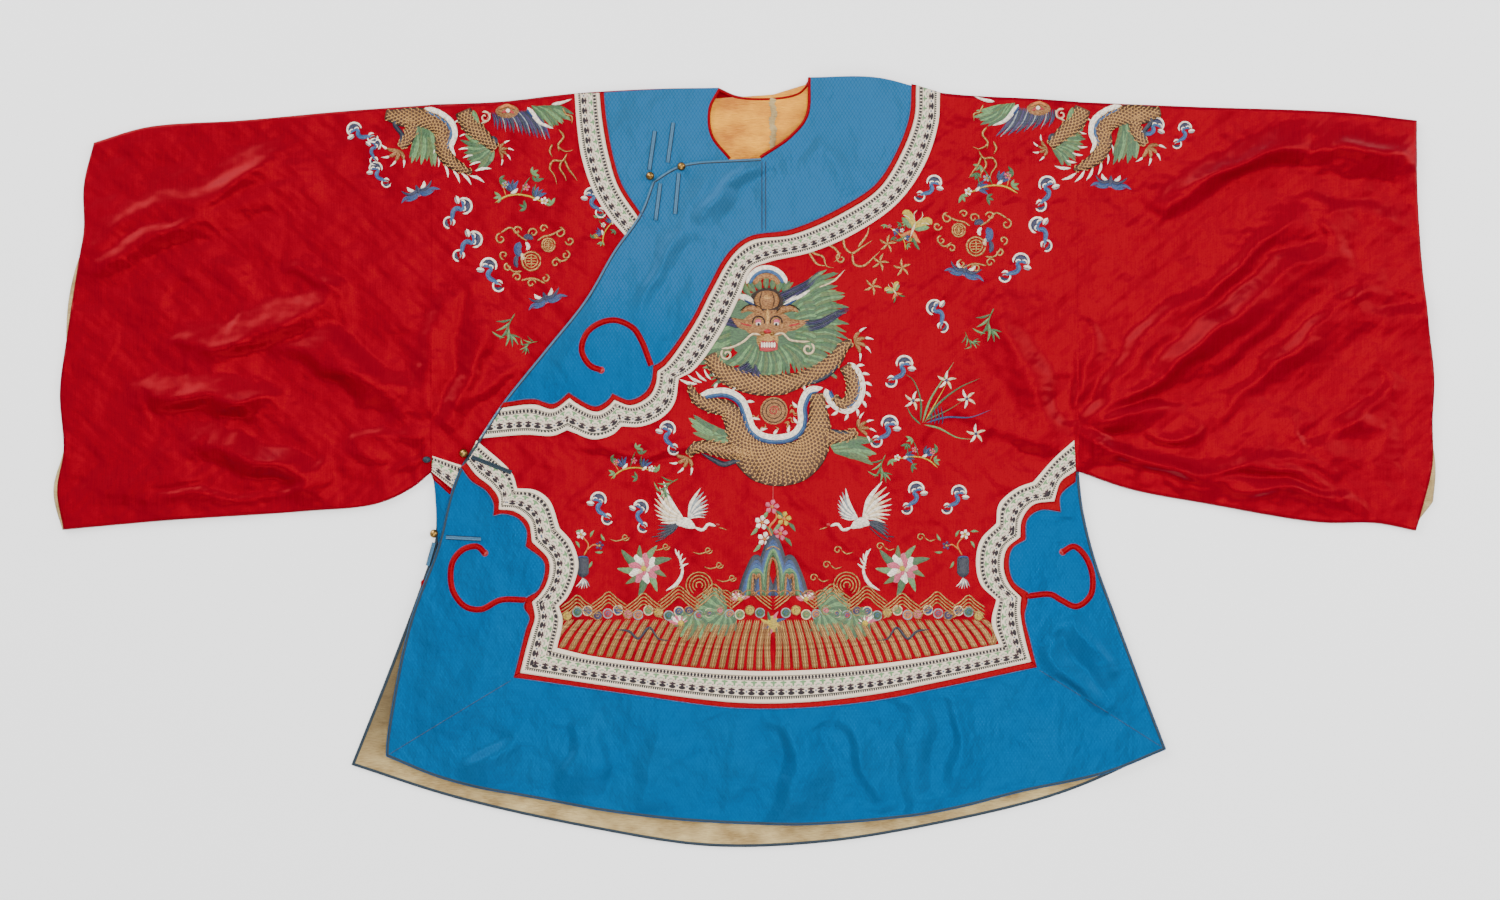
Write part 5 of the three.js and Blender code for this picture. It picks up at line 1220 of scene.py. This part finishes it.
# back fringe: blue inside, white outside, with white barbs
backLine = [(-55, 71), (-39, 75), (-23, 75), (-9, 67), (-2, 52), (3, 37), (13, 28), (29, 25), (48, 29),
            (57, 41), (57, 60), (65, 76), (80, 80)]
loopLine = [(107, 107), (117, 97), (122, 82), (119, 67), (108, 56), (95, 60), (86, 70), (83, 79)]
for points in (backLine, loopLine):
    stitch("white", 8.5, points, (0.06, 0.06), crown=0.9)
    stitch("sky", 4.6, moved(evenly(spline(points), 40), -3.2)[::2], (0.06, 0.06), crown=1.3)
    stitch("blue", 1.6, moved(evenly(spline(points), 40), -5.4)[::2], (0.06, 0.06), crown=1.5)
    barbs = moved(evenly(spline(points), 12), 3.6)
    along = np.gradient(barbs, axis=0)
    for (x, y), (dx, dy) in zip(barbs[1:-1], along[1:-1]):
        leaf(x, y, 9, math.degrees(math.atan2(dy, dx)) + 55, "white", 0.4)
# pearl: gold rings round a red spiral, with small flames
disc("gold", 27, 55, 15, crown=0.6)
for radius in (12.6, 8.4):
    stitch("goldDark", 0.9, arc(27, 55, radius, 0, 360, count=30), even, low=0.9, crown=0.2)
stitch("red", 1.2, arc(27, 55, 5.5, 0, 620, 0.85, 24), even, low=1.1)
for k in range(9):
    angle = 195 + 40 * k if k < 5 else -150 + 20 * k
    px, py = turned((17, 0), 27, 55, 1, angle)
    stitch("goldPale", 1.5, turned([(0, 0), (3, 3), (6, -1), (10, 1)], px, py, 1, angle), (0.2, 0.6))
# flames, then arms and claws; a dark blue band follows each arm
mane([(-8, 30), (-24, 28)], ("green", "greenPale", "olive"), 12, 42, 184, 158, 8, 0.24)
mane([(88, 16), (92, 10)], ("green", "greenPale", "olive"), 10, 44, 4, -12, 7, 0.24)
# Arms: line and widths, then place, turn and size of the claw, then width, line, ends and crown of the band
arms = [
    ([(56, 88), (75, 97), (94, 111), (102, 124), (111, 129)], [(0, 15), (0.4, 19), (0.8, 12), (1, 8)],
     (114, 129, 0, 1.05), 5.2, [(54, 84), (72, 87), (86, 94), (97, 106), (104, 118)], (0.25, 0.4), 1.5),
    ([(8, 8), (-20, 11), (-44, 16), (-58, 15), (-66, 7)], [(0, 10), (0.4, 18), (0.75, 12), (1, 8)],
     (-67, 5, 230, 1.0), 6.2, [(14, 3), (-15, 0), (-27, -3), (-39, 2), (-52, 9)], (0.6, 0.3), 1.7),
    ([(82, 26), (97, 27), (108, 28), (116, 33)], [(0, 16), (0.5, 13), (1, 8)],
     (119, 35, 22, 0.95), 4.6, [(86, 35), (97, 32), (107, 31), (114, 33)], (0.3, 0.3), 1.7),
]
for line, widths, toes, width, band, ends, crown in arms:
    bodyOf(line, widths)
    claw(*toes)
    stitch("navy", width, band, ends, crown=crown)
for k in range(6):
    leaf(-56 + 5 * k, 84 + 1.5 * k, 20 - 2 * k, 165 - 14 * k, "white", 0.2)
# back of the head: arch of the spine
for width, tint, r in ((5.5, "white", 22), (4.6, "sky", 18.5), (7, "gold", 13.5)):
    stitch(tint, width, arc(19, 188, r, 168, 12), (0.08, 0.08), crown=1.0)
# locks of dark hair
for points in ([(34, 176), (50, 184), (66, 194), (78, 206)], [(60, 146), (78, 150), (96, 160), (108, 166)],
               [(-14, 150), (-30, 152), (-44, 146)], [(4, 104), (-10, 98), (-24, 100)],
               [(10, 102), (6, 92), (-2, 84)]):
    base = evenly(spline(points), 12)
    for k, away in enumerate((-6, -3.6, -1.2, 1.2, 3.6, 6)):
        lock = base + away * np.linspace(1, 0.35, 12)[:, None] * np.array([-0.5, 0.85])
        stitch(("indigo", "purple", "navy")[k % 3], 2.2, lock, (0.1, 0.6), crown=1.2)
# horns, ears and brows, on both sides of the head's middle, then one whisker, dome and snout
headPairs = [
    ("white", 7, [(14, 168), (24, 176), (34, 180), (46, 188)], (0.2, 0.6), 1.3),
    ("blue", 3.4, [(14, 168), (22, 172), (32, 178)], (0.2, 0.6), 1.7),
    ("gold", 15, [(10, 150), (22, 148), (34, 150), (46, 156)], (0.15, 0.8), 1.5),
    ("red", 3, [(16, 147), (26, 148), (35, 151)], (0.4, 0.5), 2.2),
    ("gold", 9, [(6, 158), (14, 165), (24, 166), (32, 161)], (0.3, 0.5), 1.5),
    ("goldDark", 1.2, [(6, 162), (14, 169), (25, 169), (33, 163)], even, 1.8),
]
for way in (1, -1):
    for color, width, points, ends, crown in headPairs:
        stitch(color, width, [(23 + way * x, y) for x, y in points], ends, crown=crown)
stitch("cream", 1.8, [(74, 188), (92, 196), (104, 208)], (0.1, 0.3))
disc("goldDark", 19.5, 175, 18.4, 13.6, crown=2.0)
disc("gold", 19.5, 175, 17.4, 12.6, crown=2.6)
disc("goldPale", 19.5, 177, 9, 7, low=0.5, crown=2.6)
for away in (-11, -6, 6, 11):
    wrinkle = [(19.5 + away, 166), (19.5 + away * 1.3, 175), (19.5 + away * 0.9, 184)]
    stitch("goldDark", 1.1, wrinkle, (0.3, 0.3), low=2.2)
disc("gold", 20, 149, 27, 15, crown=2.0)
disc("gold", 20, 150, 19, 17, crown=2.4)
disc("goldPale", 20, 132, 12, 12, crown=2.6)
for x in (10.5, 29.5):
    disc("pink", x, 151.5, 5.6, 4.6, crown=2.8)
    disc("white", x, 149.5, 4.6, 3.8, crown=3.1)
    disc("black", x, 149, 2.9, crown=3.6)
    stitch("goldDark", 1.6, arc(x, 151, 6.4, 200, -20), even, low=2.6)
stitch("goldPale", 4.4, [(20, 166), (20.2, 156), (20, 146)], (0.4, 0.3), low=2.4)
disc("red", 20, 141, 5.6, 4.2, crown=3.4)
for x in (15, 25):
    disc("goldPale", x, 138.5, 3, 2.6, crown=3.8)
stitch("red", 11, [(11, 126), (21, 124.5), (31, 127)], (0.08, 0.08), low=2.6, crown=0.6)
for k in range(6):
    x = 14 + 2.7 * k
    stitch("white", 2.2, [(x, 129.4), (x + 0.1, 126.5), (x, 123.4)], even, low=3.2)
stitch("cream", 2.2, [(13, 137), (4, 138), (-6, 130), (-18, 124), (-30, 122)], (0.1, 0.1), low=2.4)
stitch("cream", 2.2, arc(-24, 116, 6.5, 130, 560, 0.75, 18), (0.05, 0.1), low=1.6)
stitch("cream", 2.2, [(27, 137), (36, 139), (44, 132), (56, 130), (66, 130)], (0.1, 0.1), low=2.4)
stitch("cream", 2.2, arc(64, 122, 7, 60, -380, 0.75, 18), (0.05, 0.1), low=1.6)
print("large dragon ready")

# Shoulder dragons: only their lower halves show below the fold; the right one is the left one turned over
middle = 26


def side(points, mirror):  # points of the left dragon, carried to the right shoulder when mirrored
    p = np.asarray(points, float)
    return np.stack([2 * middle - p[..., 0], p[..., 1] + 3], axis=-1) if mirror else p


def angled(turn, mirror):
    return 180 - turn if mirror else turn


shoulderBodies = [  # line, widths and the notched side
    ([(-394, 376), (-378, 373), (-357, 373), (-340, 367), (-331, 356), (-333, 343), (-328, 330), (-316, 320),
      (-300, 313)],
     [(0, 10), (0.15, 19), (0.4, 20), (0.6, 17), (0.85, 12), (1, 3)], -1),
    ([(-372, 374), (-366, 363), (-369, 351), (-378, 341)], [(0, 12), (0.5, 13), (1, 8)], 0),
    ([(-310, 380), (-304, 367), (-293, 356), (-283, 347), (-274, 339)], [(0, 17), (0.5, 18), (1, 9)], -1),
]
shoulderStitches = [
    ("white", 6.4, [(-352, 383), (-336, 378), (-322, 367), (-319, 354), (-323, 341), (-318, 331)],
     (0.1, 0.2)),
    ("sky", 4.0, [(-354, 380), (-339, 374), (-326, 364), (-323, 354), (-327, 342), (-323, 331)], (0.1, 0.2)),
    ("navy", 5.0, [(-379, 378), (-384, 366), (-376, 353), (-381, 342)], (0.25, 0.3)),
    ("greenPale", 6, [(-299, 381), (-297, 374), (-293, 366)], (0.3, 0.3)),
    ("navy", 6, [(-278, 353), (-275, 347), (-279, 340)], (0.3, 0.3)),
    ("cream", 2.4, [(-280, 378), (-284, 370), (-291, 366)], (0.2, 0.2)),
    ("white", 6, [(-240, 384), (-234, 376), (-226, 367), (-212, 361)], (0.15, 0.6)),
    ("blue", 4, [(-241, 382), (-236, 376), (-229, 370)], (0.15, 0.5)),
    ("white", 3.6, [(-214, 387), (-203, 389), (-192, 393)], (0.2, 0.6)),
]
spikes = [  # place, turn and length
    (-320, 366, 35, 8), (-314, 352, 20, 9), (-315, 338, 5, 12), (-310, 329, 14, 13), (-303, 321, 16, 15),
    (-297, 315, 8, 18), (-303, 310, -25, 18), (-312, 313, -50, 17), (-321, 316, -62, 16),
    (-330, 322, -75, 15), (-337, 331, -88, 12), (-341, 341, -100, 10),
]
for points in ([(-206, 360), (-201, 352), (-207, 342), (-198, 336), (-190, 338)],
               [(-213, 344), (-216, 336), (-213, 330)], [(-207, 344), (-206, 336)],
               [(-197, 334), (-202, 326), (-212, 326), (-216, 318), (-211, 310), (-208, 300)],
               [(-203, 326), (-205, 318), (-200, 310), (-198, 304)],
               [(-200, 328), (-196, 318), (-190, 310), (-186, 304)],
               [(-202, 384), (-198, 376), (-192, 374), (-192, 366)]):
    shoulderStitches.append(("goldPale", 2.4, points, (0.12, 0.5)))
for mirror in (False, True):
    for points, spread, length, start, end, count, width in (
            ([(-360, 372), (-352, 368)], 10, 46, -100, -80, 9, 0.2),
            ([(-286, 344), (-276, 338)], 14, 27, 150, 235, 13, 0.26),
            ([(-236, 386), (-222, 384)], 10, 34, -52, -18, 10, 0.22)):
        mane(side(points, mirror), greens, spread, length, angled(start, mirror), angled(end, mirror), count,
             width)
    for points, widths, notched in shoulderBodies:
        bodyOf(side(points, mirror), widths, scale=4.0, notched=-notched if mirror else notched)
    for color, width, points, ends in shoulderStitches:
        stitch(color, width, side(points, mirror), ends, crown=1.4)
    for x, y, turn, length in spikes:
        px, py = side((x, y), mirror)
        leaf(px, py, length, angled(turn, mirror), "white", 0.2)
    for x, y, turn, size in ((-380, 338, 235, 1.0), (-271, 337, -8, 0.8)):
        px, py = side((x, y), mirror)
        claw(px, py, angled(turn, mirror), size)
    cx, cy = side((-286, 373), mirror)
    disc("gold", *side((-262, 379), mirror), 13, 8, crown=1.8)
    stitch("orange", 3.2, side([(-271, 382), (-262, 386), (-253, 382)], mirror), (0.3, 0.3), low=1.9)
    stitch("red", 3.4, side([(-268, 378), (-261, 380), (-254, 377)], mirror), (0.3, 0.3), low=2.2)
    disc("white", *side((-261, 380), mirror), 2.2, low=2.9)
    stitch("cream", 2.2, arc(cx, cy, 6.4, angled(120, mirror), angled(-320, mirror), 0.8, 18), even, low=1.4)
    stitch("red", 1.4, arc(cx, cy, 4.6, angled(100, mirror), angled(-320, mirror), 0.8, 18), even, low=1.6)
    for k in range(22):
        x, y = side((-279 + 2.0 * k, 379 + 0.1 * k), mirror)
        leaf(x, y, 17 + 1.0 * k + 3 * math.sin(2.1 * k), angled(-74 + 1.2 * k - 0.6 * abs(k - 9), mirror),
             ("indigo", "purple", "navy", "indigo", "grey")[k % 5], 0.07 if k % 5 == 4 else 0.13)

for points in ([(60, 236), (70, 226), (80, 222), (84, 212), (92, 210)],
               [(84, 236), (94, 230), (98, 222), (92, 216)],
               [(102, 244), (104, 232), (112, 226), (122, 232), (134, 240)],
               [(112, 226), (114, 214), (124, 212), (136, 222), (142, 228)],
               [(118, 232), (128, 246), (130, 254)], [(64, 228), (74, 214), (84, 212)]):
    stitch("goldPale", 2.4, points, (0.12, 0.5))
stitch("goldPale", 2.2, arc(100, 220, 6, 90, 480, 0.8, 18), even)
for x, y in ((142, 216), (134, 190), (150, 236), (166, 210)):  # small gold sprigs beside the butterflies
    for k in range(5):
        leaf(x, y, 10, 72 * k + x, "goldPale", 0.3)

# Hem design, the same on both sides: slanting bands of standing water, a row of rosettes, pointed wave tops
footLine = edge("hemField")
rosettes = ("green", "blue", "yellow", "red", "greenPale", "purple", "orange", "blue", "pink")


def half(points, flip):  # a place in the hem design, right of the middle or, with flip below 0, left of it
    p = np.asarray(points, float)
    return np.stack([middle + flip * p[..., 0], p[..., 1]], axis=-1)


for flip in (-1, 1):
    left = flip < 0
    for k in range(25):
        x = 5.1 + 10.2 * k
        foot = float(np.interp(middle + flip * x, footLine[:, 0], footLine[:, 1]))
        lean = min(22, 4 + 2.2 * k)
        if k > 22 and foot > -204:
            foot = -200
        top = (x - lean if x - lean > 4 else 4 + 0.2 * k, -171)
        points = half([(min(x, 238), foot + 1), ((x + top[0]) / 2 + 1.8, (foot - 171) / 2), top], flip)
        for away, tint in ((-2.2, "gold"), (0, "goldPale"), (2.2, "gold")):
            stitch(tint, 2.4, points + np.array([away, 0]), (0.05, 0.12), crown=0.6)
    for k in range(20):
        px, py = half((14 + 11.0 * k, -164 + 3.0 * math.sin(k * 1.9)), flip)
        tint = rosettes[(k * 2) % 9]
        stitch(("grey", "gold", "cream")[k % 3], 1.3, arc(px, py, 5.0, 0, 360), even, low=0.4, crown=0.4)
        disc(tint, px, py, 4.6, crown=0.7)
        stitch("goldPale" if k % 3 else "sky", 0.9, arc(px, py, 2.6, 0, 400, 0.6, 12), even, low=1.0)
    for x, y, size in ((212, -150, 15), (178, -147, 17), (140, -149, 18), (102, -142, 20), (64, -139, 18),
                       (24, -138, 20)):
        for away in (0, 3.9, 7.8, 11.7):
            rim, crest = y - size * 0.55 - away, y - away - 1
            wave = [(x - size - 3, rim), (x - size / 2, crest), (x, y + size * 0.34 - away),
                    (x + size / 2, crest), (x + size + 3, rim)]
            stitch("goldPale", 1.7, half(wave, flip), (0.08, 0.08), crown=0.8)
    px, py = half((80, -134), flip)
    for r in (14, 10.5, 7, 3.5):  # wave whorl
        stitch("goldPale", 1.6, arc(px, py, r, -60, 240, count=20), (0.08, 0.08), crown=0.8)
    # lotus leaves and flowers standing in the water
    for j in range(-7, 8):
        leaf(*half((50, -160), flip), 40 - 2 * abs(j), angled(-20 - 13 * j, left), greens[(j + 7) % 2], 0.36)
    for j in range(-6, 7):
        tint = ("green", "greenPale", "olive")[(j + 6) % 3]
        leaf(*half((86, -163), flip), 34 - 1.4 * abs(j), 270 + 14 * j, tint, 0.36)
    for x, y, size in ((100, -176, 1.2), (36, -150, 1.0)):
        px, py = half((x, y), flip)
        for j in range(7):
            leaf(px, py, 12 * size, 18 + 24 * j, ("pink", "white")[j % 2], 0.42)
        disc("yellow", px, py + 1, 2.6 * size, low=1.0)
    shore = [(170, -182), (156, -184), (146, -192), (134, -180), (124, -192), (112, -194)]
    stitch("navy", 2.6, half(shore, flip), (0.2, 0.4), low=1.0)
    # crane in flight towards the middle, placed from its back
    bx, by = 96, -66
    for j in range(9):
        tint = "cream" if j % 2 else "white"
        leaf(*half((bx + 1, by + 4), flip), 46 - 2.6 * j, angled(62 - 9 * j, left), tint, 0.12)
        tint = "grey" if j % 2 else "white"
        leaf(*half((bx - 4, by + 4), flip), 36 - 2.2 * j, angled(112 + 8 * j, left), tint, 0.13)
    for j in range(4):
        leaf(*half((bx + 4, by), flip), 25 + 2 * j, angled(-8 - 9 * j, left), "navy", 0.14)
    stitch("white", 11, half([(bx + 10, by - 2), (bx, by), (bx - 12, by - 6)], flip), (0.4, 0.4), crown=1.2)
    neck = [(bx - 10, by - 5), (bx - 20, by - 8), (bx - 26, by - 2), (bx - 34, by - 4)]
    stitch("white", 3.2, half(neck, flip), (0.2, 0.1), crown=1.0)
    disc("red", *half((bx - 36, by - 2.4), flip), 2.2, 1.6, low=1.0)
    stitch("goldPale", 1.4, half([(bx - 37, by - 5), (bx - 46, by - 8)], flip), (0.2, 0.5))
    stitch("navy", 1.3, half([(bx + 10, by - 4), (bx + 26, by - 14), (bx + 36, by - 16)], flip), even)
    stitch("navy", 1.3, half([(bx + 8, by - 5), (bx + 22, by - 17), (bx + 32, by - 21)], flip), even)
    # peony with its leaves
    px, py = half((140, -116), flip)
    for j in range(9):
        leaf(px, py, 32 - 3 * (j % 3), 20 + 40 * j, ("green", "greenPale", "olive")[j % 3], 0.3)
    rings = [(9, 17, ("pink", "white")), (8, 12.5, ("white", "pink")), (6, 8, ("pink", "cream"))]
    for ring, (count, reach, tints) in enumerate(rings):
        for j in range(count):
            angle = 360 / count * j + 20 * ring
            cx, cy = turned((reach * 0.6, 0), px, py, 1, angle)
            disc(tints[j % 2], cx, cy, reach * 0.42, reach * 0.3, angle, crown=0.9, low=0.3 + 0.3 * ring)
    disc("yellow", px, py, 3, low=1.6)
    stitch("white", 4, half([(116, -140), (104, -132), (98, -118), (102, -104)], flip), (0.3, 0.6), crown=1)
    for j in range(5):
        leaf(*half((101, -116 + 3 * j), flip), 11, angled(150 - 22 * j, left), "white", 0.24)
    # pot of blossom beside the ribbon
    x, y = 206, -112
    stitch("navy", 13, half([(x, y + 10), (x, y - 2), (x, y - 14)], flip), (0.12, 0.2), crown=1.0)
    stitch("blue", 2, half([(x - 6, y + 8), (x, y + 9), (x + 6, y + 8)], flip), even, low=1.2)
    for j in range(6):
        leaf(*half((x, y - 14), flip), 12, 232 + 15 * j, ("white", "grey")[j % 2], 0.16)
    stitch("orange", 1.6, half([(x - 1, y + 10), (x - 6, y + 22), (x + 2, y + 32)], flip), even)
    stitch("orange", 1.6, half([(x - 4, y + 16), (x - 12, y + 22), (x - 18, y + 20)], flip), even)
    blossom(*half((x + 2, y + 33), flip), 1.0, "white")
    blossom(*half((x - 18, y + 21), flip), 0.9, "purple")
    for j, (dx, dy) in enumerate([(8, 36), (-8, 30), (-24, 26), (-22, 14), (-10, 4), (8, 26)]):
        leaf(*half((x + dx, y + dy), flip), 9, 60 * j, "greenPale", 0.36)
    # small clouds of gold line
    for spot in ((70, -96), (58, -112), (116, -92), (44, -126), (160, -82)):
        px, py = half(spot, flip)
        stitch("goldPale", 1.5, arc(px, py, 4.4, 0, 420 * flip, 0.7), even)
        stitch("goldPale", 1.5, [(px + 4, py), (px + 10 * flip, py - 4), (px + 17 * flip, py - 2)],
               (0.2, 0.3))

# Three-peaked rock rising in the middle, with a flowering branch and the sun over it
for x, wide, top in ((26, 22, -82), (8, 18, -104), (44, 18, -104)):
    for j, tint in enumerate(("navy", "blue", "sky", "greenPale", "green", "gold")):
        shrink = 1 - j / 7
        shoulder = (top - 146) / 2 + 4
        peak = [(x - wide * shrink, -146), (x - wide * 0.55 * shrink, shoulder), (x, top - 4.5 * j),
                (x + wide * 0.55 * shrink, shoulder), (x + wide * shrink, -146)]
        stitch(tint, 5 * shrink + 2, peak, (0.05, 0.05), low=0.3 + 0.12 * j, crown=0.8)
for j in range(9):
    stitch("gold", 1.6, arc(26 + 13 * (j - 4), -146, 6.5, 0, 180), (0.1, 0.1), low=1.2)
stitch("orange", 2.4, [(26, -84), (22, -72), (30, -60), (25, -50)], (0.1, 0.4))
for x, y, petal in ((25, -49, "pink"), (14, -66, "white"), (38, -62, "yellow"), (34, -78, "pink"),
                    (17, -84, "white")):
    blossom(x, y, 1.5, petal, "orange")
    leaf(x + 4, y - 4, 13, -50, "green", 0.34)
    leaf(x - 4, y - 4, 13, 230, "greenPale", 0.34)
stitch("goldPale", 1.5, [(18, -96), (26, -92), (34, -96)], even, low=1.4)
disc("yellow", 26, -176, 6.5, 9, crown=1.0)
for j in range(8):
    leaf(26, -176, 15, 22 + 45 * j, ("blue", "pink", "green", "yellow")[j % 4], 0.3)
print("hem design ready")


# Join what was gathered, one mesh for each thread, laid on the satin. Threads lie along each band, drawn a
# little coarser than life so that they show.
def threadMaterial(name, settings, dark, lines):
    made, tree, shader = newMaterial(name, settings)
    tint = addNode(tree, "ShaderNodeAttribute", dict(attribute_name="tint")).outputs["Color"]
    uv = addNode(tree, "ShaderNodeUVMap", dict(uv_map="UVMap")).outputs[0]
    streaks = weaveLines(tree, uv, lines)
    spread = addNode(tree, "ShaderNodeMapRange", None,
                     {0: streaks, 1: 0.38, 2: 0.62, 3: 0.0, 4: 1.0}).outputs[0]
    darken = dict(data_type="RGBA", blend_type="MULTIPLY")
    deep = addNode(tree, "ShaderNodeMix", darken, {0: 1.0, 6: tint, 7: dark}).outputs[2]
    color = addNode(tree, "ShaderNodeMix", rgba, {0: spread, 6: deep, 7: tint}).outputs[2]
    tree.links.new(color, shader.inputs["Base Color"])
    bump = addNode(tree, "ShaderNodeBump", None, {"Height": streaks, "Strength": 0.5, "Distance": 0.0008})
    tree.links.new(bump.outputs[0], shader.inputs["Normal"])
    return made


threadPaint = dict(
    gold=threadMaterial("couchedGoldThread", {"Metallic": 0.55, "Roughness": 0.42}, "#a07c64",
                        (0.35, 1.3, 0)),
    silk=threadMaterial("silkFloss", {"Roughness": 0.45, "Specular IOR Level": 0.4}, "#b4b4b8",
                        (0.3, 0.9, 0)),
)
for kind, gathered in sewn.items():
    faces, first = [], 0
    for bands in gathered:
        index = first + np.arange(bands[1].size).reshape(bands[1].shape)
        faces.append(quadsOf(index))
        first += index.size
    faces = np.concatenate(faces)
    flat, lift, tint, uv = (np.concatenate([bands[k].reshape(-1, width) for bands in gathered])
                            for k, width in enumerate((2, 1, 3, 2)))
    a, b, c, d = (flat[faces[:, k]] for k in range(4))
    upward = (c - a)[:, 0] * (d - b)[:, 1] > (c - a)[:, 1] * (d - b)[:, 0]
    faces = np.where(upward[:, None], faces, faces[:, ::-1])
    x, y = flat.T
    base = np.where(pastClosure(x, y) > -6, outerTop(x, y), underTop(x, y))
    made = addMesh("embroidery_" + kind, place(flat, base + lift[:, 0]), faces.tolist(), uv,
                   threadPaint[kind])
    tint = np.concatenate([tint, np.ones((len(flat), 1))], axis=1).astype(np.float32)
    made.data.color_attributes.new("tint", "FLOAT_COLOR", "POINT").data.foreach_set("color", tint.ravel())
    closeSeams(made.data)
    print("embroidery", kind, len(made.data.polygons) * 2, "triangles")

# Floor, lights and camera
floorPaint, tree, shader = newMaterial("plainPaleFloor", {"Roughness": 0.9, "Specular IOR Level": 0.1})
object3 = addNode(tree, "ShaderNodeTexCoord").outputs["Object"]
faint = addNode(tree, "ShaderNodeTexNoise", None, {"Vector": object3, "Scale": 2.0}).outputs["Fac"]
color = addNode(tree, "ShaderNodeMix", rgba, {0: faint, 6: "#f6f6f6", 7: "#fafafa"}).outputs[2]
tree.links.new(color, shader.inputs["Base Color"])
bpy.ops.mesh.primitive_plane_add(size=12, location=(0, 0, 0))
floor = bpy.context.object
floor.name = "floor"
floor.data.materials.append(floorPaint)


def addLight(name, place, aim, size, power):
    data = bpy.data.lights.new(name, "AREA")
    data.shape = "RECTANGLE"
    data.size, data.size_y = size
    data.energy = power
    made = bpy.data.objects.new(name, data)
    made.location = place
    made.rotation_euler = (Vector(aim) - Vector(place)).to_track_quat("-Z", "Y").to_euler()
    bpy.context.collection.objects.link(made)


addLight("overheadLight", (0.35, 0, 4.2), (0.2, 0, 0), (3.4, 2.0), 215)
addLight("keyLight", (-2.6, 2.8, 1.8), (0, 0, 0), (4.0, 2.2), 255)
addLight("sideLight", (3.0, 0.9, 2.0), (0, 0, 0), (1.8, 2.4), 115)
addLight("lowLight", (-0.4, -3.0, 2.4), (0, 0, 0), (3.0, 1.4), 60)

world = bpy.data.worlds.new("studio")
bpy.context.scene.world = world
world.use_nodes = True
world.node_tree.nodes["Background"].inputs["Color"].default_value = (1, 1, 1, 1)
world.node_tree.nodes["Background"].inputs["Strength"].default_value = 0.35

camera = bpy.data.cameras.new("camera")
camera.lens = 70
camera.sensor_width = 36
cameraObject = bpy.data.objects.new("camera", camera)
cameraObject.location = (shift[0] + 1.1 * mm, shift[1] + 12.5 * mm, 3.161 + 0.005)
bpy.context.collection.objects.link(cameraObject)
bpy.context.scene.camera = cameraObject
